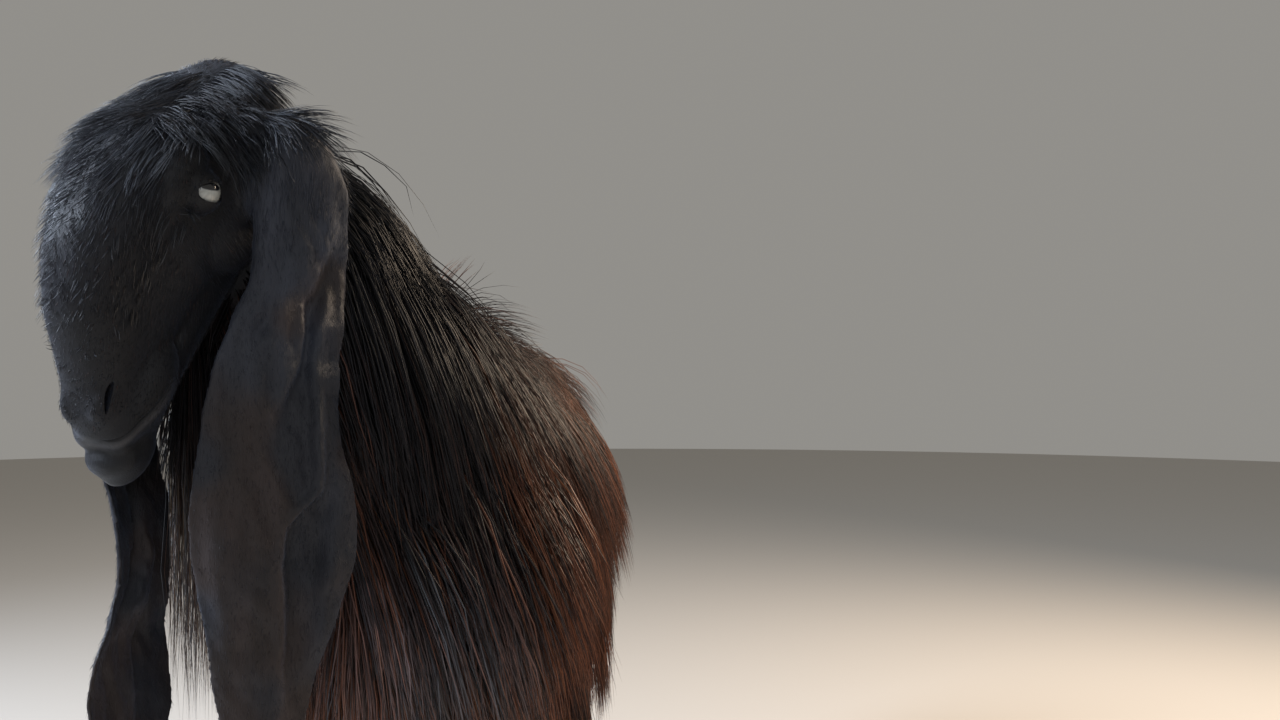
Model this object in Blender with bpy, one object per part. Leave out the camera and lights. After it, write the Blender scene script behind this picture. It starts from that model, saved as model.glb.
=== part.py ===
"""A Cyprus goat of the Damascus type: a still, life-size model of the long-coated animal, standing.

The goat faces -Y, its left side is +X, up is +Z and the floor is z = 0, in metres. Its head
is turned to its right. The flesh is lofted from named sizes, fused into one body and parted by thin
cuts into torso, neck, head, tail and legs. The origin is the bottom middle of the whole part.
"""

import math
import random

import bmesh
import bpy
import numpy as np
from mathutils import Matrix, Vector
from mathutils.bvhtree import BVHTree
from mathutils.kdtree import KDTree

GAP = 0.0003
CM = 0.01
SHORTEST = 0.0001

# Where the head sits: the poll is the top of the head between the ears
POLL = Vector((-0.1235, -0.526, 0.908))
HEAD_TURN = math.radians(19.5)
HEAD_DROP = math.radians(64.8)
HEAD_TILT = math.radians(-2.3)

# Torso from brisket to rump: x, y, z of the middle, half width, height above it, depth below it
TORSO = (
    (0.0, -0.385, 0.545, 0.040, 0.050, 0.050),
    (0.0, -0.335, 0.565, 0.086, 0.125, 0.125),
    (0.0, -0.235, 0.585, 0.110, 0.170, 0.185),
    (0.0, -0.110, 0.580, 0.120, 0.170, 0.190),
    (0.0, 0.030, 0.575, 0.120, 0.160, 0.185),
    (0.0, 0.160, 0.580, 0.115, 0.150, 0.175),
    (0.0, 0.270, 0.600, 0.100, 0.132, 0.155),
    (0.0, 0.350, 0.612, 0.074, 0.098, 0.110),
    (0.0, 0.395, 0.618, 0.030, 0.050, 0.050),
)
BACK_PINCH = 0.42

# Neck from inside the chest to the back of the skull: middle, half width, throat depth, crest height
NECK = (
    (0.0, -0.190, 0.560, 0.085, 0.120, 0.120),
    (-0.012, -0.275, 0.635, 0.094, 0.120, 0.116),
    (-0.046, -0.365, 0.720, 0.084, 0.092, 0.104),
    (-0.076, -0.435, 0.795, 0.068, 0.072, 0.088),
    (-0.098, -0.480, 0.845, 0.056, 0.058, 0.062),
)

# Left foreleg from inside the shoulder to the foot: middle, half width, rear and front radius
FORELEG = (
    (0.070, -0.235, 0.540, 0.040, 0.075, 0.075),
    (0.088, -0.215, 0.440, 0.036, 0.055, 0.058),
    (0.092, -0.222, 0.340, 0.027, 0.034, 0.034),
    (0.092, -0.236, 0.262, 0.026, 0.026, 0.030),
    (0.092, -0.236, 0.225, 0.021, 0.021, 0.024),
    (0.092, -0.232, 0.150, 0.0165, 0.018, 0.018),
    (0.092, -0.232, 0.098, 0.023, 0.026, 0.022),
    (0.092, -0.246, 0.062, 0.020, 0.020, 0.020),
    (0.092, -0.262, 0.030, 0.027, 0.026, 0.026),
)

# Left hind leg from inside the hip to the foot, as above
HINDLEG = (
    (0.055, 0.270, 0.600, 0.044, 0.080, 0.095),
    (0.080, 0.235, 0.490, 0.042, 0.085, 0.085),
    (0.092, 0.262, 0.395, 0.030, 0.050, 0.050),
    (0.092, 0.322, 0.320, 0.021, 0.028, 0.026),
    (0.092, 0.345, 0.275, 0.023, 0.028, 0.027),
    (0.092, 0.335, 0.215, 0.019, 0.021, 0.021),
    (0.092, 0.322, 0.150, 0.017, 0.018, 0.019),
    (0.092, 0.314, 0.098, 0.023, 0.026, 0.023),
    (0.092, 0.298, 0.062, 0.020, 0.020, 0.020),
    (0.092, 0.282, 0.030, 0.027, 0.026, 0.026),
)

# Skull and upper jaw in head centimetres: along the nose from the poll, level of the widest
# part, half width there, top and bottom
SKULL = (
    (-4.5, -3.6, 2.6, -1.0, -6.2),
    (-2.5, -3.0, 4.3, 0.3, -8.0),
    (1.0, -2.0, 5.3, 2.2, -8.8),
    (4.5, -1.2, 5.6, 4.5, -8.9),
    (8.0, -0.3, 5.1, 5.5, -8.3),
    (11.5, 0.6, 4.1, 5.9, -7.6),
    (15.0, 0.9, 3.3, 5.6, -6.8),
    (18.5, 0.0, 2.8, 3.9, -6.1),
    (21.0, -1.6, 2.5, 1.6, -6.0),
    (23.0, -2.7, 2.25, -0.3, -5.6),
    (24.6, -3.4, 1.8, -1.7, -5.1),
    (25.4, -3.7, 1.0, -2.7, -4.6),
)

# Lower jaw: along the nose, level of its middle, half width, half height
JAW = (
    (3.5, -6.0, 3.4, 3.0),
    (7.5, -6.2, 3.9, 3.1),
    (12.5, -6.2, 3.1, 2.5),
    (17.3, -6.0, 2.5, 1.9),
    (21.3, -5.9, 2.2, 1.6),
    (24.3, -5.7, 2.1, 1.5),
    (26.0, -5.3, 1.8, 1.2),
    (26.8, -5.0, 1.0, 0.7),
)

# Eyes, lids, nostrils and mouth in head centimetres; the eye's slit is turned from the nose line
EYE_PLACE = (8.1, 4.8, 0.6)
EYE_RADIUS = 1.45
EYE_CLEAR = 0.03
LID = 0.24
EYE_SLANT = math.radians(54.0)
EYE_OPENING = (1.42, 0.62)
NOSTRIL_SIZE = (1.15, 0.20, 0.75)
MOUTH_DEPTH = 0.7
NOSTRIL_TOP = (22.1, 2.9, -0.4)
NOSTRIL_FOOT = (23.9, 1.2, -1.7)
MOUTH_CORNER = (19.3, 2.8, -5.2)
MOUTH_FRONT = (26.6, 0.0, -4.1)

# Each ear is a sheet in an upright plane through a foot under it, running along a direction from its
# front edge to its rear edge. From the root to the tip: level, place along that direction, place out
# of the plane, half width and thickness
EAR_FOOT_LEFT = Vector((-0.0556, -0.5495, 0.0))
EAR_WIDTH_LEFT = Vector((0.788, 0.616, 0.0))
EAR_LEFT = (
    (0.894, 0.011, 0.0, 0.011, 0.020),
    (0.885, 0.016, 0.0, 0.021, 0.032),
    (0.872, 0.0205, 0.0, 0.028, 0.036),
    (0.856, 0.0235, 0.0, 0.0335, 0.028),
    (0.833, 0.027, 0.0, 0.037, 0.015),
    (0.782, 0.028, 0.0, 0.038, 0.0072),
    (0.747, 0.0175, 0.0, 0.043, 0.0060),
    (0.711, 0.009, 0.0, 0.047, 0.0052),
    (0.663, 0.005, 0.0, 0.0525, 0.0048),
    (0.621, 0.007, 0.0, 0.060, 0.0048),
    (0.578, 0.009, 0.0, 0.0595, 0.0048),
    (0.535, 0.0065, 0.0, 0.049, 0.0048),
    (0.495, 0.0015, 0.0, 0.039, 0.0046),
    (0.456, 0.0, 0.0, 0.029, 0.0042),
    (0.438, 0.0, 0.0, 0.012, 0.0036),
)
EAR_FOOT_RIGHT = Vector((-0.1775, -0.4975, 0.0))
EAR_WIDTH_RIGHT = Vector((0.211, 0.977, 0.0))
EAR_RIGHT = (
    (0.896, 0.0, 0.006, 0.011, 0.020),
    (0.887, 0.0, 0.011, 0.021, 0.032),
    (0.874, 0.0, 0.015, 0.028, 0.036),
    (0.858, 0.0, 0.017, 0.033, 0.028),
    (0.835, 0.0, 0.018, 0.0365, 0.015),
    (0.785, 0.0, 0.016, 0.039, 0.0072),
    (0.730, 0.0, 0.012, 0.043, 0.0060),
    (0.675, 0.0, 0.006, 0.043, 0.0052),
    (0.615, 0.0, -0.002, 0.034, 0.0048),
    (0.565, 0.0, -0.006, 0.0285, 0.0048),
    (0.530, 0.0, -0.004, 0.039, 0.0048),
    (0.495, 0.0, 0.0, 0.053, 0.0048),
    (0.460, 0.0, 0.0, 0.052, 0.0046),
    (0.432, 0.0, 0.0, 0.035, 0.0042),
    (0.420, 0.0, 0.0, 0.014, 0.0036),
)
# How far each place across an ear stands out of its sheet: a front panel, a ridge, a cup and a rim
EAR_FOLD = ((-1.0, -0.004), (-0.6, 0.003), (-0.1, 0.005), (0.25, 0.010), (0.42, 0.009), (0.60, -0.006),
            (0.76, -0.007), (0.90, 0.003), (1.0, 0.001))
EAR_RIM = 0.58

# Tail: middle, half width, and radius each way
TAIL = (
    (0.0, 0.375, 0.672, 0.024, 0.020, 0.022),
    (0.0, 0.425, 0.695, 0.022, 0.018, 0.018),
    (0.0, 0.470, 0.685, 0.018, 0.015, 0.015),
    (0.0, 0.500, 0.650, 0.013, 0.011, 0.011),
    (0.0, 0.510, 0.610, 0.007, 0.006, 0.006),
)

# Hooves: where each foot stands, the sole's half length and half width, and the claws' middles
FOREFOOT = (0.092, -0.268)
HINDFOOT = (0.092, 0.276)
HOOF_HEIGHT = 0.038
SOLE = (0.031, 0.0128)
CLAW_OUT = 0.0142
DEWCLAW = (0.011, 0.034, 0.088, 0.0085)

# Cuts between nodes: the neck leaves the torso on a slope, the legs just under the belly
NECK_CUT = (Vector((0.0, -0.290, 0.620)), math.radians(26.6))
LEG_CUT = 0.3850

# The coat: locks in tiers from the spine down, rooted on a core over the flesh. A tier has an angle
# from the top, a length, how far its tips stand off, and how much it leans back and out
CORE = 0.004
SUNK = 0.008
LOCK_STEPS = 5
FALL = 0.5
LOCK_WIDTH = 0.068
LOCK_THICK = 0.008
LOCK_TIP = 0.0012
TORSO_TIERS = (
    (3.0, 0.200, 0.010, 0.25, 1.2),
    (48.0, 0.210, 0.014, 0.15, 0.35),
    (98.0, 0.310, 0.020, 0.05, 0.50),
)
TORSO_COLUMNS = (-0.285, 0.312, 9)
RUMP_TIERS = ((50.0, 0.190, 0.012, 0.2, 0.3), (98.0, 0.250, 0.018, 0.1, 0.4))
RUMP_COLUMNS = 5
NECK_TIERS = (
    (3.0, 0.165, 0.016, 0.15, 1.2),
    (58.0, 0.165, 0.016, 0.05, 0.5),
    (115.0, 0.190, 0.016, 0.0, 0.4),
)
NECK_STATIONS = (0.24, 0.90, 5)
NECK_OUTER = 0.015
# Locks of throat and chest: how wide they are, where each is rooted, and its length
CHEST_WIDTH = 0.054
CHEST_LOCKS = (
    (-0.130, -0.500, 0.770, 0.230),
    (-0.095, -0.520, 0.765, 0.250),
    (-0.060, -0.500, 0.740, 0.230),
    (-0.120, -0.470, 0.690, 0.220),
    (-0.070, -0.480, 0.680, 0.230),
    (-0.020, -0.450, 0.660, 0.220),
    (-0.060, -0.430, 0.590, 0.200),
    (0.010, -0.430, 0.590, 0.200),
    (0.000, -0.400, 0.500, 0.150),
)
# Tufts that stand up from the withers: place along the spine, lean to the left, and length
WITHERS_LOCKS = ((-0.302, 0.9, 0.085), (-0.252, 0.5, 0.090), (-0.198, 1.0, 0.085), (-0.140, 0.6, 0.080))
# Forelocks: along the nose, left, and length, in head centimetres
FORELOCKS = (
    (-1.0, 0.9, 7.5),
    (-0.8, -1.2, 8.0),
    (0.0, 3.0, 6.5),
    (0.2, -3.2, 6.5),
    (3.2, 0.1, 8.5),
    (3.4, -2.2, 7.5),
    (3.6, 2.3, 6.5),
)
FORELOCK_WIDTH = 0.024
FORELOCK_THICK = 0.006
TAIL_LOCKS = (7, 0.105, 0.028)
SEED = 8

COLOURS = {
    "coat": (0.030, 0.018, 0.015),
    "face": (0.012, 0.012, 0.015),
    "ear": (0.020, 0.019, 0.022),
    "leg": (0.018, 0.015, 0.014),
    "hoof": (0.035, 0.030, 0.026),
    "eye": (0.55, 0.56, 0.55),
}


def clear_scene():
    """Removes whatever the scene holds."""
    for item in list(bpy.data.objects):
        bpy.data.objects.remove(item)


def material(name, roughness=0.6):
    """The Principled material of this name, made once."""
    found = bpy.data.materials.get(name)
    if found is None:
        found = bpy.data.materials.new(name)
        found.use_nodes = True
        shader = found.node_tree.nodes["Principled BSDF"]
        shader.inputs["Base Color"].default_value = (*COLOURS[name], 1.0)
        shader.inputs["Roughness"].default_value = roughness
    return found


def through(rows, count):
    """As many rows as asked for, on a smooth curve through the given rows."""
    table = np.array(rows, float)
    last = len(table) - 1
    padded = np.vstack([2 * table[0] - table[1], table, 2 * table[-1] - table[-2]])
    made = []
    for place in np.linspace(0.0, last, count):
        start = min(int(place), last - 1)
        f = place - start
        a, b, c, d = padded[start : start + 4]
        curve = 2 * b + (c - a) * f + (2 * a - 5 * b + 4 * c - d) * f**2
        made.append(0.5 * (curve + (3 * b - a - 3 * c + d) * f**3))
    return np.array(made)


def placed(name, shape):
    """A mesh object of a bmesh, with its faces pointing out."""
    shape.normal_update()
    bmesh.ops.recalc_face_normals(shape, faces=shape.faces)
    mesh = bpy.data.meshes.new(name)
    shape.to_mesh(mesh)
    shape.free()
    made = bpy.data.objects.new(name, mesh)
    bpy.context.collection.objects.link(made)
    return made


def mesh_object(name, points, faces):
    """A mesh object of these points and faces."""
    shape = bmesh.new()
    corners = [shape.verts.new(p) for p in points]
    for face in faces:
        shape.faces.new([corners[i] for i in face])
    return placed(name, shape)


def lofted(name, rings):
    """A closed mesh through rings with equal point counts, with a fan of faces over each end."""
    count = len(rings[0])
    points = [Vector(p) for ring in rings for p in ring]
    faces = []
    for i in range(len(rings) - 1):
        for j in range(count):
            k = (j + 1) % count
            low, high = i * count, (i + 1) * count
            faces.append((low + j, low + k, high + k, high + j))
    for start in (0, (len(rings) - 1) * count):
        points.append(sum(points[start : start + count], Vector()) / count)
        hub = len(points) - 1
        faces += [(start + j, start + (j + 1) % count, hub) for j in range(count)]
    return mesh_object(name, points, faces)


def limb(name, rows, sides, steps, pinch=0.0, grow=0.0):
    """A loft along a middle line. Its sections have a half width along X and a radius each way
    across it; pinch narrows the half on the first radius's side, and grow adds to every radius."""
    table = through(rows, steps)
    middles = [Vector(row[:3]) for row in table]
    rings = []
    for i, row in enumerate(table):
        ahead = middles[min(i + 1, steps - 1)] - middles[max(i - 1, 0)]
        ahead.normalize()
        side = (Vector((1, 0, 0)) - ahead * ahead.x).normalized()
        across = side.cross(ahead)
        ring = []
        for j in range(sides):
            turn = 2 * math.pi * j / sides
            c, s = math.cos(turn), math.sin(turn)
            reach = (row[4] if c > 0 else row[5]) + grow
            width = (row[3] + grow) * (1 - pinch * max(c, 0.0) ** 2)
            ring.append(middles[i] + side * width * s + across * reach * c)
        rings.append(ring)
    return lofted(name, rings)


def mirrored_rows(rows):
    """The same rows on the goat's right side."""
    return [(-row[0], *row[1:]) for row in rows]


def head_matrix():
    """From head centimetres (along the nose, left, towards the brow) to the model's frame."""
    ahead = Vector((-math.sin(HEAD_TURN), -math.cos(HEAD_TURN), 0))
    left = Vector((math.cos(HEAD_TURN), -math.sin(HEAD_TURN), 0))
    nose = ahead * math.cos(HEAD_DROP) - Vector((0, 0, 1)) * math.sin(HEAD_DROP)
    brow = ahead * math.sin(HEAD_DROP) + Vector((0, 0, 1)) * math.cos(HEAD_DROP)
    axes = Matrix((nose, left, brow)).transposed().to_4x4()
    return Matrix.Translation(POLL) @ Matrix.Rotation(HEAD_TILT, 4, ahead) @ axes @ Matrix.Scale(CM, 4)


def on_head(place, side=1):
    """A place in head centimetres as a point of the model, on its left (1) or right (-1) side."""
    return head_matrix() @ Vector((place[0], place[1] * side, place[2]))


def skull(sides=28, steps=34):
    """Skull, face and upper jaw as one loft."""
    rings = []
    for along, level, width, top, bottom in through(SKULL, steps):
        ring = []
        for j in range(sides):
            turn = 2 * math.pi * j / sides
            c, s = math.cos(turn), math.sin(turn)
            reach = (top - level) if c > 0 else (level - bottom)
            flat = 0.86 if c > 0 else 0.78
            across = math.copysign(abs(s) ** flat, s) * width
            ring.append(on_head((along, across, level + c * reach)))
        rings.append(ring)
    return lofted("skull", rings)


def jaw(sides=20, steps=18):
    """The lower jaw with its lip."""
    rings = []
    for along, level, width, height in through(JAW, steps):
        ring = []
        for j in range(sides):
            turn = 2 * math.pi * j / sides
            ring.append(on_head((along, width * math.sin(turn), level + height * math.cos(turn))))
        rings.append(ring)
    return lofted("jaw", rings)


def ball(name, place, radii, side=1, fine=3):
    """An ellipsoid on the head, in head centimetres."""
    shape = bmesh.new()
    bmesh.ops.create_icosphere(shape, subdivisions=fine, radius=1.0)
    for vertex in shape.verts:
        along, left, brow = vertex.co.x * radii[0], vertex.co.y * radii[1], vertex.co.z * radii[2]
        vertex.co = on_head((place[0] + along, place[1] + left, place[2] + brow), side)
    return placed(name, shape)


def head_forms():
    """What is fused into the head: skull, jaw, brows, cheeks, nostril wings and lips."""
    forms = [skull(), jaw()]
    for side in (1, -1):
        forms.append(ball("brow", (7.4, 3.7, 1.8), (3.2, 1.9, 2.1), side))
        forms.append(ball("cheek", (6.0, 3.6, -4.6), (5.2, 2.0, 3.6), side))
        forms.append(ball("nostril_wing", (22.6, 1.2, -1.9), (2.0, 1.05, 1.4), side))
        forms.append(ball("upper_lip", (22.8, 1.3, -3.9), (2.9, 1.5, 1.35), side))
        forms.append(ball("ear_root", (2.6, 5.0, -1.6), (2.6, 1.7, 2.4), side))
    forms.append(ball("lower_lip", (25.6, 0.0, -5.3), (1.7, 2.4, 1.1)))
    forms.append(ball("chin", (24.6, 0.0, -6.6), (2.7, 2.3, 1.3)))
    return forms


def remove(items):
    """Takes objects out of the file."""
    for item in items:
        bpy.data.objects.remove(item)


def apply_modifiers(item):
    """Makes an object's mesh what its modifiers give, and drops them."""
    graph = bpy.context.evaluated_depsgraph_get()
    mesh = bpy.data.meshes.new_from_object(item.evaluated_get(graph))
    item.modifiers.clear()
    item.data = mesh


def fused(name, forms, voxel, smooth, triangles):
    """One smooth closed mesh over all the forms: a voxel remesh, smoothed, then thinned out."""
    bpy.context.view_layer.update()
    shape = bmesh.new()
    for form in forms:
        shape.from_mesh(form.data)
    mesh = bpy.data.meshes.new(name)
    shape.to_mesh(mesh)
    shape.free()
    remove(forms)
    made = bpy.data.objects.new(name, mesh)
    bpy.context.collection.objects.link(made)
    remesh = made.modifiers.new("Remesh", "REMESH")
    remesh.mode = "VOXEL"
    remesh.voxel_size = voxel
    blur = made.modifiers.new("Smooth", "SMOOTH")
    blur.factor = 0.5
    blur.iterations = smooth
    apply_modifiers(made)
    if triangles:
        thin = made.modifiers.new("Decimate", "DECIMATE")
        thin.ratio = min(1.0, triangles / (2 * len(made.data.polygons)))
        apply_modifiers(made)
    return made


def with_forms(item, others, operation, solver="EXACT"):
    """Joins the others to an item or cuts them out of it, and takes the others away."""
    group = bpy.data.collections.new("forms")
    for other in others:
        bpy.context.collection.objects.unlink(other)
        group.objects.link(other)
        other.hide_render = True
        other.display_type = "WIRE"
    bpy.context.scene.collection.children.link(group)
    change = item.modifiers.new("Boolean", "BOOLEAN")
    change.operation = operation
    change.solver = solver
    change.operand_type = "COLLECTION"
    change.collection = group
    bpy.context.view_layer.update()
    apply_modifiers(item)
    remove(others)
    bpy.data.collections.remove(group)
    return item


def islands(mesh):
    """The groups of faces that are joined along edges, the largest first."""
    shape = bmesh.new()
    shape.from_mesh(mesh)
    seen = set()
    groups = []
    for start in shape.faces:
        if start.index in seen:
            continue
        group = []
        ahead = [start]
        seen.add(start.index)
        while ahead:
            face = ahead.pop()
            group.append(face.index)
            for edge in face.edges:
                for other in edge.link_faces:
                    if other.index not in seen:
                        seen.add(other.index)
                        ahead.append(other)
        groups.append(group)
    shape.free()
    return sorted(groups, key=len, reverse=True)


def kept(item, group, name):
    """A copy of an item with one group of its faces."""
    shape = bmesh.new()
    shape.from_mesh(item.data)
    inside = set(group)
    gone = [face for face in shape.faces if face.index not in inside]
    bmesh.ops.delete(shape, geom=gone, context="FACES")
    mesh = bpy.data.meshes.new(name)
    shape.to_mesh(mesh)
    shape.free()
    made = bpy.data.objects.new(name, mesh)
    bpy.context.collection.objects.link(made)
    return made


def largest(item):
    """Keeps only the largest closed surface of an item."""
    name = item.name
    item.name = "whole"
    made = kept(item, islands(item.data)[0], name)
    remove([item])
    return made


def grown(item, by):
    """A copy whose surface is moved out along its normals."""
    mesh = item.data.copy()
    moved = [vertex.co + vertex.normal * by for vertex in mesh.vertices]
    for vertex, place in zip(mesh.vertices, moved):
        vertex.co = place
    made = bpy.data.objects.new("grown", mesh)
    bpy.context.collection.objects.link(made)
    return made


def slab(middle, size, tilt=0.0):
    """A box for cutting, turned about X."""
    points = []
    for corner in range(8):
        x = size[0] * (0.5 if corner & 1 else -0.5)
        y = size[1] * (0.5 if corner & 2 else -0.5)
        z = size[2] * (0.5 if corner & 4 else -0.5)
        points.append(Vector(middle) + Matrix.Rotation(tilt, 3, "X") @ Vector((x, y, z)))
    faces = [(0, 2, 3, 1), (4, 5, 7, 6), (0, 1, 5, 4), (2, 6, 7, 3), (0, 4, 6, 2), (1, 3, 7, 5)]
    return mesh_object("slab", points, faces)


def body_forms(grow=0.0):
    """Torso, neck and legs with their dewclaws, before they are fused."""
    forms = [limb("torso_form", TORSO, 32, 30, BACK_PINCH, grow), limb("neck_form", NECK, 24, 18, 0.0, grow)]
    for rows, foot in ((FORELEG, FOREFOOT), (HINDLEG, HINDFOOT)):
        forms.append(limb("leg_form", rows, 16, 34))
        forms.append(limb("leg_form", mirrored_rows(rows), 16, 34))
        for side in (1, -1):
            for out in (1, -1):
                x = foot[0] * side + out * DEWCLAW[0]
                y = foot[1] + DEWCLAW[1] + 0.022
                forms.append(knob("dewclaw", (x, y, DEWCLAW[2]), DEWCLAW[3]))
    return forms


def knob(name, place, radius):
    """A small ball."""
    shape = bmesh.new()
    bmesh.ops.create_icosphere(shape, subdivisions=2, radius=radius)
    bmesh.ops.translate(shape, verts=shape.verts, vec=Vector(place))
    return placed(name, shape)


def tree_of(item):
    """A search tree over an item's surface."""
    shape = bmesh.new()
    shape.from_mesh(item.data)
    tree = BVHTree.FromBMesh(shape)
    shape.free()
    return tree


def lock(path, ups, width, thick):
    """A flat, tapered lock with three sides along a path, its ridge away from the body."""
    rings = []
    last = len(path) - 1
    for i, place in enumerate(path):
        f = i / last
        ahead = (path[min(i + 1, last)] - path[max(i - 1, 0)]).normalized()
        up = (ups[i] - ahead * ups[i].dot(ahead)).normalized()
        side = ahead.cross(up)
        half = max(LOCK_TIP, width / 2 * (0.8 + 0.2 * math.sin(math.pi * f)) * (1 - f**3.5))
        tall = max(LOCK_TIP, thick * (1 - 0.85 * f**2))
        rings.append([place + side * half, place + up * tall, place - side * half])
    return lofted("lock", rings)


def combed(tree, root, lean, length, lift, fall=FALL, over=0.0, hugs=False):
    """A path from a root on the body, leaning one way, drawn down by its weight and kept off the
    body by a lift that grows along it. One that hugs follows the body at that lift."""
    near, up = tree.find_nearest(root)[:2]
    ahead = (lean - up * lean.dot(up)).normalized()
    path, ups = [near - up * SUNK], [up]
    place = near
    for i in range(1, LOCK_STEPS):
        f = i / (LOCK_STEPS - 1)
        ahead = (ahead + Vector((0, 0, -fall))).normalized()
        place = place + ahead * length / (LOCK_STEPS - 1)
        near, out = tree.find_nearest(place)[:2]
        clear = lift * f**0.7 + over
        if hugs or (place - near).dot(out) < clear:
            place = near + out * clear
            up = out
            ahead = (place - path[-1]).normalized()
        else:
            up = (up + out * 0.3).normalized()
        path.append(place)
        ups.append(up)
    return path, ups


def on_ring(tree, middle, across, tall, degrees):
    """The place on the surface seen from a middle line at an angle from the top."""
    turn = math.radians(degrees)
    out = across * math.sin(turn) + tall * math.cos(turn)
    found = tree.ray_cast(middle + out * 0.6, -out)[0]
    return found if found is not None else middle + out * 0.1


def torso_locks(tree, chance):
    """Tiers of locks along both flanks, hanging from the spine, and round the rump."""
    made = []
    first, last, columns = TORSO_COLUMNS
    step = (last - first) / (columns - 1)
    across, tall = Vector((1, 0, 0)), Vector((0, 0, 1))
    for tier, (degrees, length, lift, back, out) in enumerate(TORSO_TIERS):
        for side in (1, -1):
            for i in range(columns):
                y = first + step * (i + (0.5 if tier % 2 else 0.0)) + chance.uniform(-0.006, 0.006)
                root = on_ring(tree, Vector((0, y, 0.585)), across * side, tall, degrees + chance.uniform(-4, 4))
                lean = Vector((out * side, back + chance.uniform(-0.12, 0.12), -1.0))
                path, ups = combed(tree, root, lean, length * chance.uniform(0.9, 1.1), lift)
                made.append(lock(path, ups, LOCK_WIDTH * chance.uniform(0.85, 1.05), LOCK_THICK))
    for y, left, length in WITHERS_LOCKS:
        root = on_ring(tree, Vector((0, y, 0.585)), across, tall, 8.0)
        path, ups = combed(tree, root, Vector((left, 0.6, 0.6)), length, 0.032, 0.10)
        made.append(lock(path, ups, FORELOCK_WIDTH, FORELOCK_THICK))
    for degrees, length, lift, back, out in RUMP_TIERS:
        for i in range(RUMP_COLUMNS):
            swing = math.radians(-66 + 132 * i / (RUMP_COLUMNS - 1))
            round_rump = Vector((math.sin(swing), math.cos(swing), 0))
            root = on_ring(tree, Vector((0, 0.30, 0.60)), round_rump, tall, degrees)
            lean = round_rump * out + Vector((0, back, -1.0))
            path, ups = combed(tree, root, lean, length * chance.uniform(0.9, 1.1), lift)
            made.append(lock(path, ups, LOCK_WIDTH, LOCK_THICK))
    return made


def neck_locks(tree, chance):
    """Tiers of locks from the crest down both sides of the neck, and long ones on throat and chest."""
    made = []
    line = through(NECK, 40)
    first, last, stations = NECK_STATIONS
    for i in range(stations):
        f = first + (last - first) * i / (stations - 1)
        row = line[round(f * 39)]
        ahead = Vector(line[min(round(f * 39) + 1, 39)][:3]) - Vector(line[round(f * 39) - 1][:3])
        ahead.normalize()
        across = (Vector((1, 0, 0)) - ahead * ahead.x).normalized()
        tall = across.cross(ahead)
        for tier, (degrees, length, lift, back, out) in enumerate(NECK_TIERS):
            for side in (1, -1):
                middle = Vector(row[:3]) + ahead * (0.018 if tier % 2 else 0.0)
                root = on_ring(tree, middle, across * side, tall, degrees + chance.uniform(-5, 5))
                lean = across * side * out + Vector((0, back + chance.uniform(-0.1, 0.1), -1.0))
                long = length * chance.uniform(0.9, 1.1) * (1.1 - 0.3 * f)
                path, ups = combed(tree, root, lean, long, lift, 0.6, NECK_OUTER * (1 - f))
                made.append(lock(path, ups, LOCK_WIDTH * (1.05 - 0.25 * f), LOCK_THICK))
    for x, y, z, length in CHEST_LOCKS:
        path, ups = combed(tree, Vector((x, y, z)), Vector((0, -0.3, -1.0)), length, 0.016, 0.8)
        made.append(lock(path, ups, CHEST_WIDTH, LOCK_THICK))
    return made


def forelocks(tree):
    """Short locks from the poll down over the forehead."""
    made = []
    nose = (on_head((1, 0, 0)) - on_head((0, 0, 0))).normalized()
    brow = (on_head((0, 0, 1)) - on_head((0, 0, 0))).normalized()
    for along, left, length in FORELOCKS:
        root = tree.ray_cast(on_head((along, left, 14.0)), -brow)[0]
        path, ups = combed(tree, root, nose, length * CM, 0.004, 0.1, 0.0, True)
        made.append(lock(path, ups, FORELOCK_WIDTH, FORELOCK_THICK))
    return made


def tail_locks(tree, chance):
    """Locks that hang from the tail on both sides and from its tip."""
    count, length, width = TAIL_LOCKS
    line = through(TAIL, count + 3)
    made = []
    for i in range(count):
        row = line[i + 2]
        side = 1 if i % 2 else -1
        root = Vector(row[:3]) + Vector((side * row[3], 0, 0.004))
        lean = Vector((side * 0.5, 0.35, -1.0))
        path, ups = combed(tree, root, lean, length * chance.uniform(0.85, 1.1), 0.006)
        path[0] = Vector(row[:3])
        made.append(lock(path, ups, width, LOCK_THICK * 0.8))
    return made


def in_triangles(shape):
    """Takes out the points that lie within straight edges, then cuts each face into triangles."""
    straight = [vertex for vertex in shape.verts if len(vertex.link_edges) == 2]
    bmesh.ops.dissolve_verts(shape, verts=straight)
    for face in [f for f in shape.faces if len(f.verts) > 3]:
        own, corners = set(face.edges), set(face.verts)
        around = [(e, e.other_vert(v)) for v in face.verts for e in v.link_edges]
        if any(e not in own and other in corners for e, other in around):
            bmesh.ops.poke(shape, faces=[face])
        else:
            bmesh.ops.triangulate(shape, faces=[face])


def touching(shape):
    """Pairs of points that lie in one place."""
    shape.verts.ensure_lookup_table()
    near = KDTree(len(shape.verts))
    for i, vertex in enumerate(shape.verts):
        near.insert(vertex.co, i)
    near.balance()
    pairs = []
    for i, vertex in enumerate(shape.verts):
        pairs += [(vertex, shape.verts[j]) for _, j, _ in near.find_range(vertex.co, SHORTEST / 10) if j > i]
    return pairs


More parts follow.
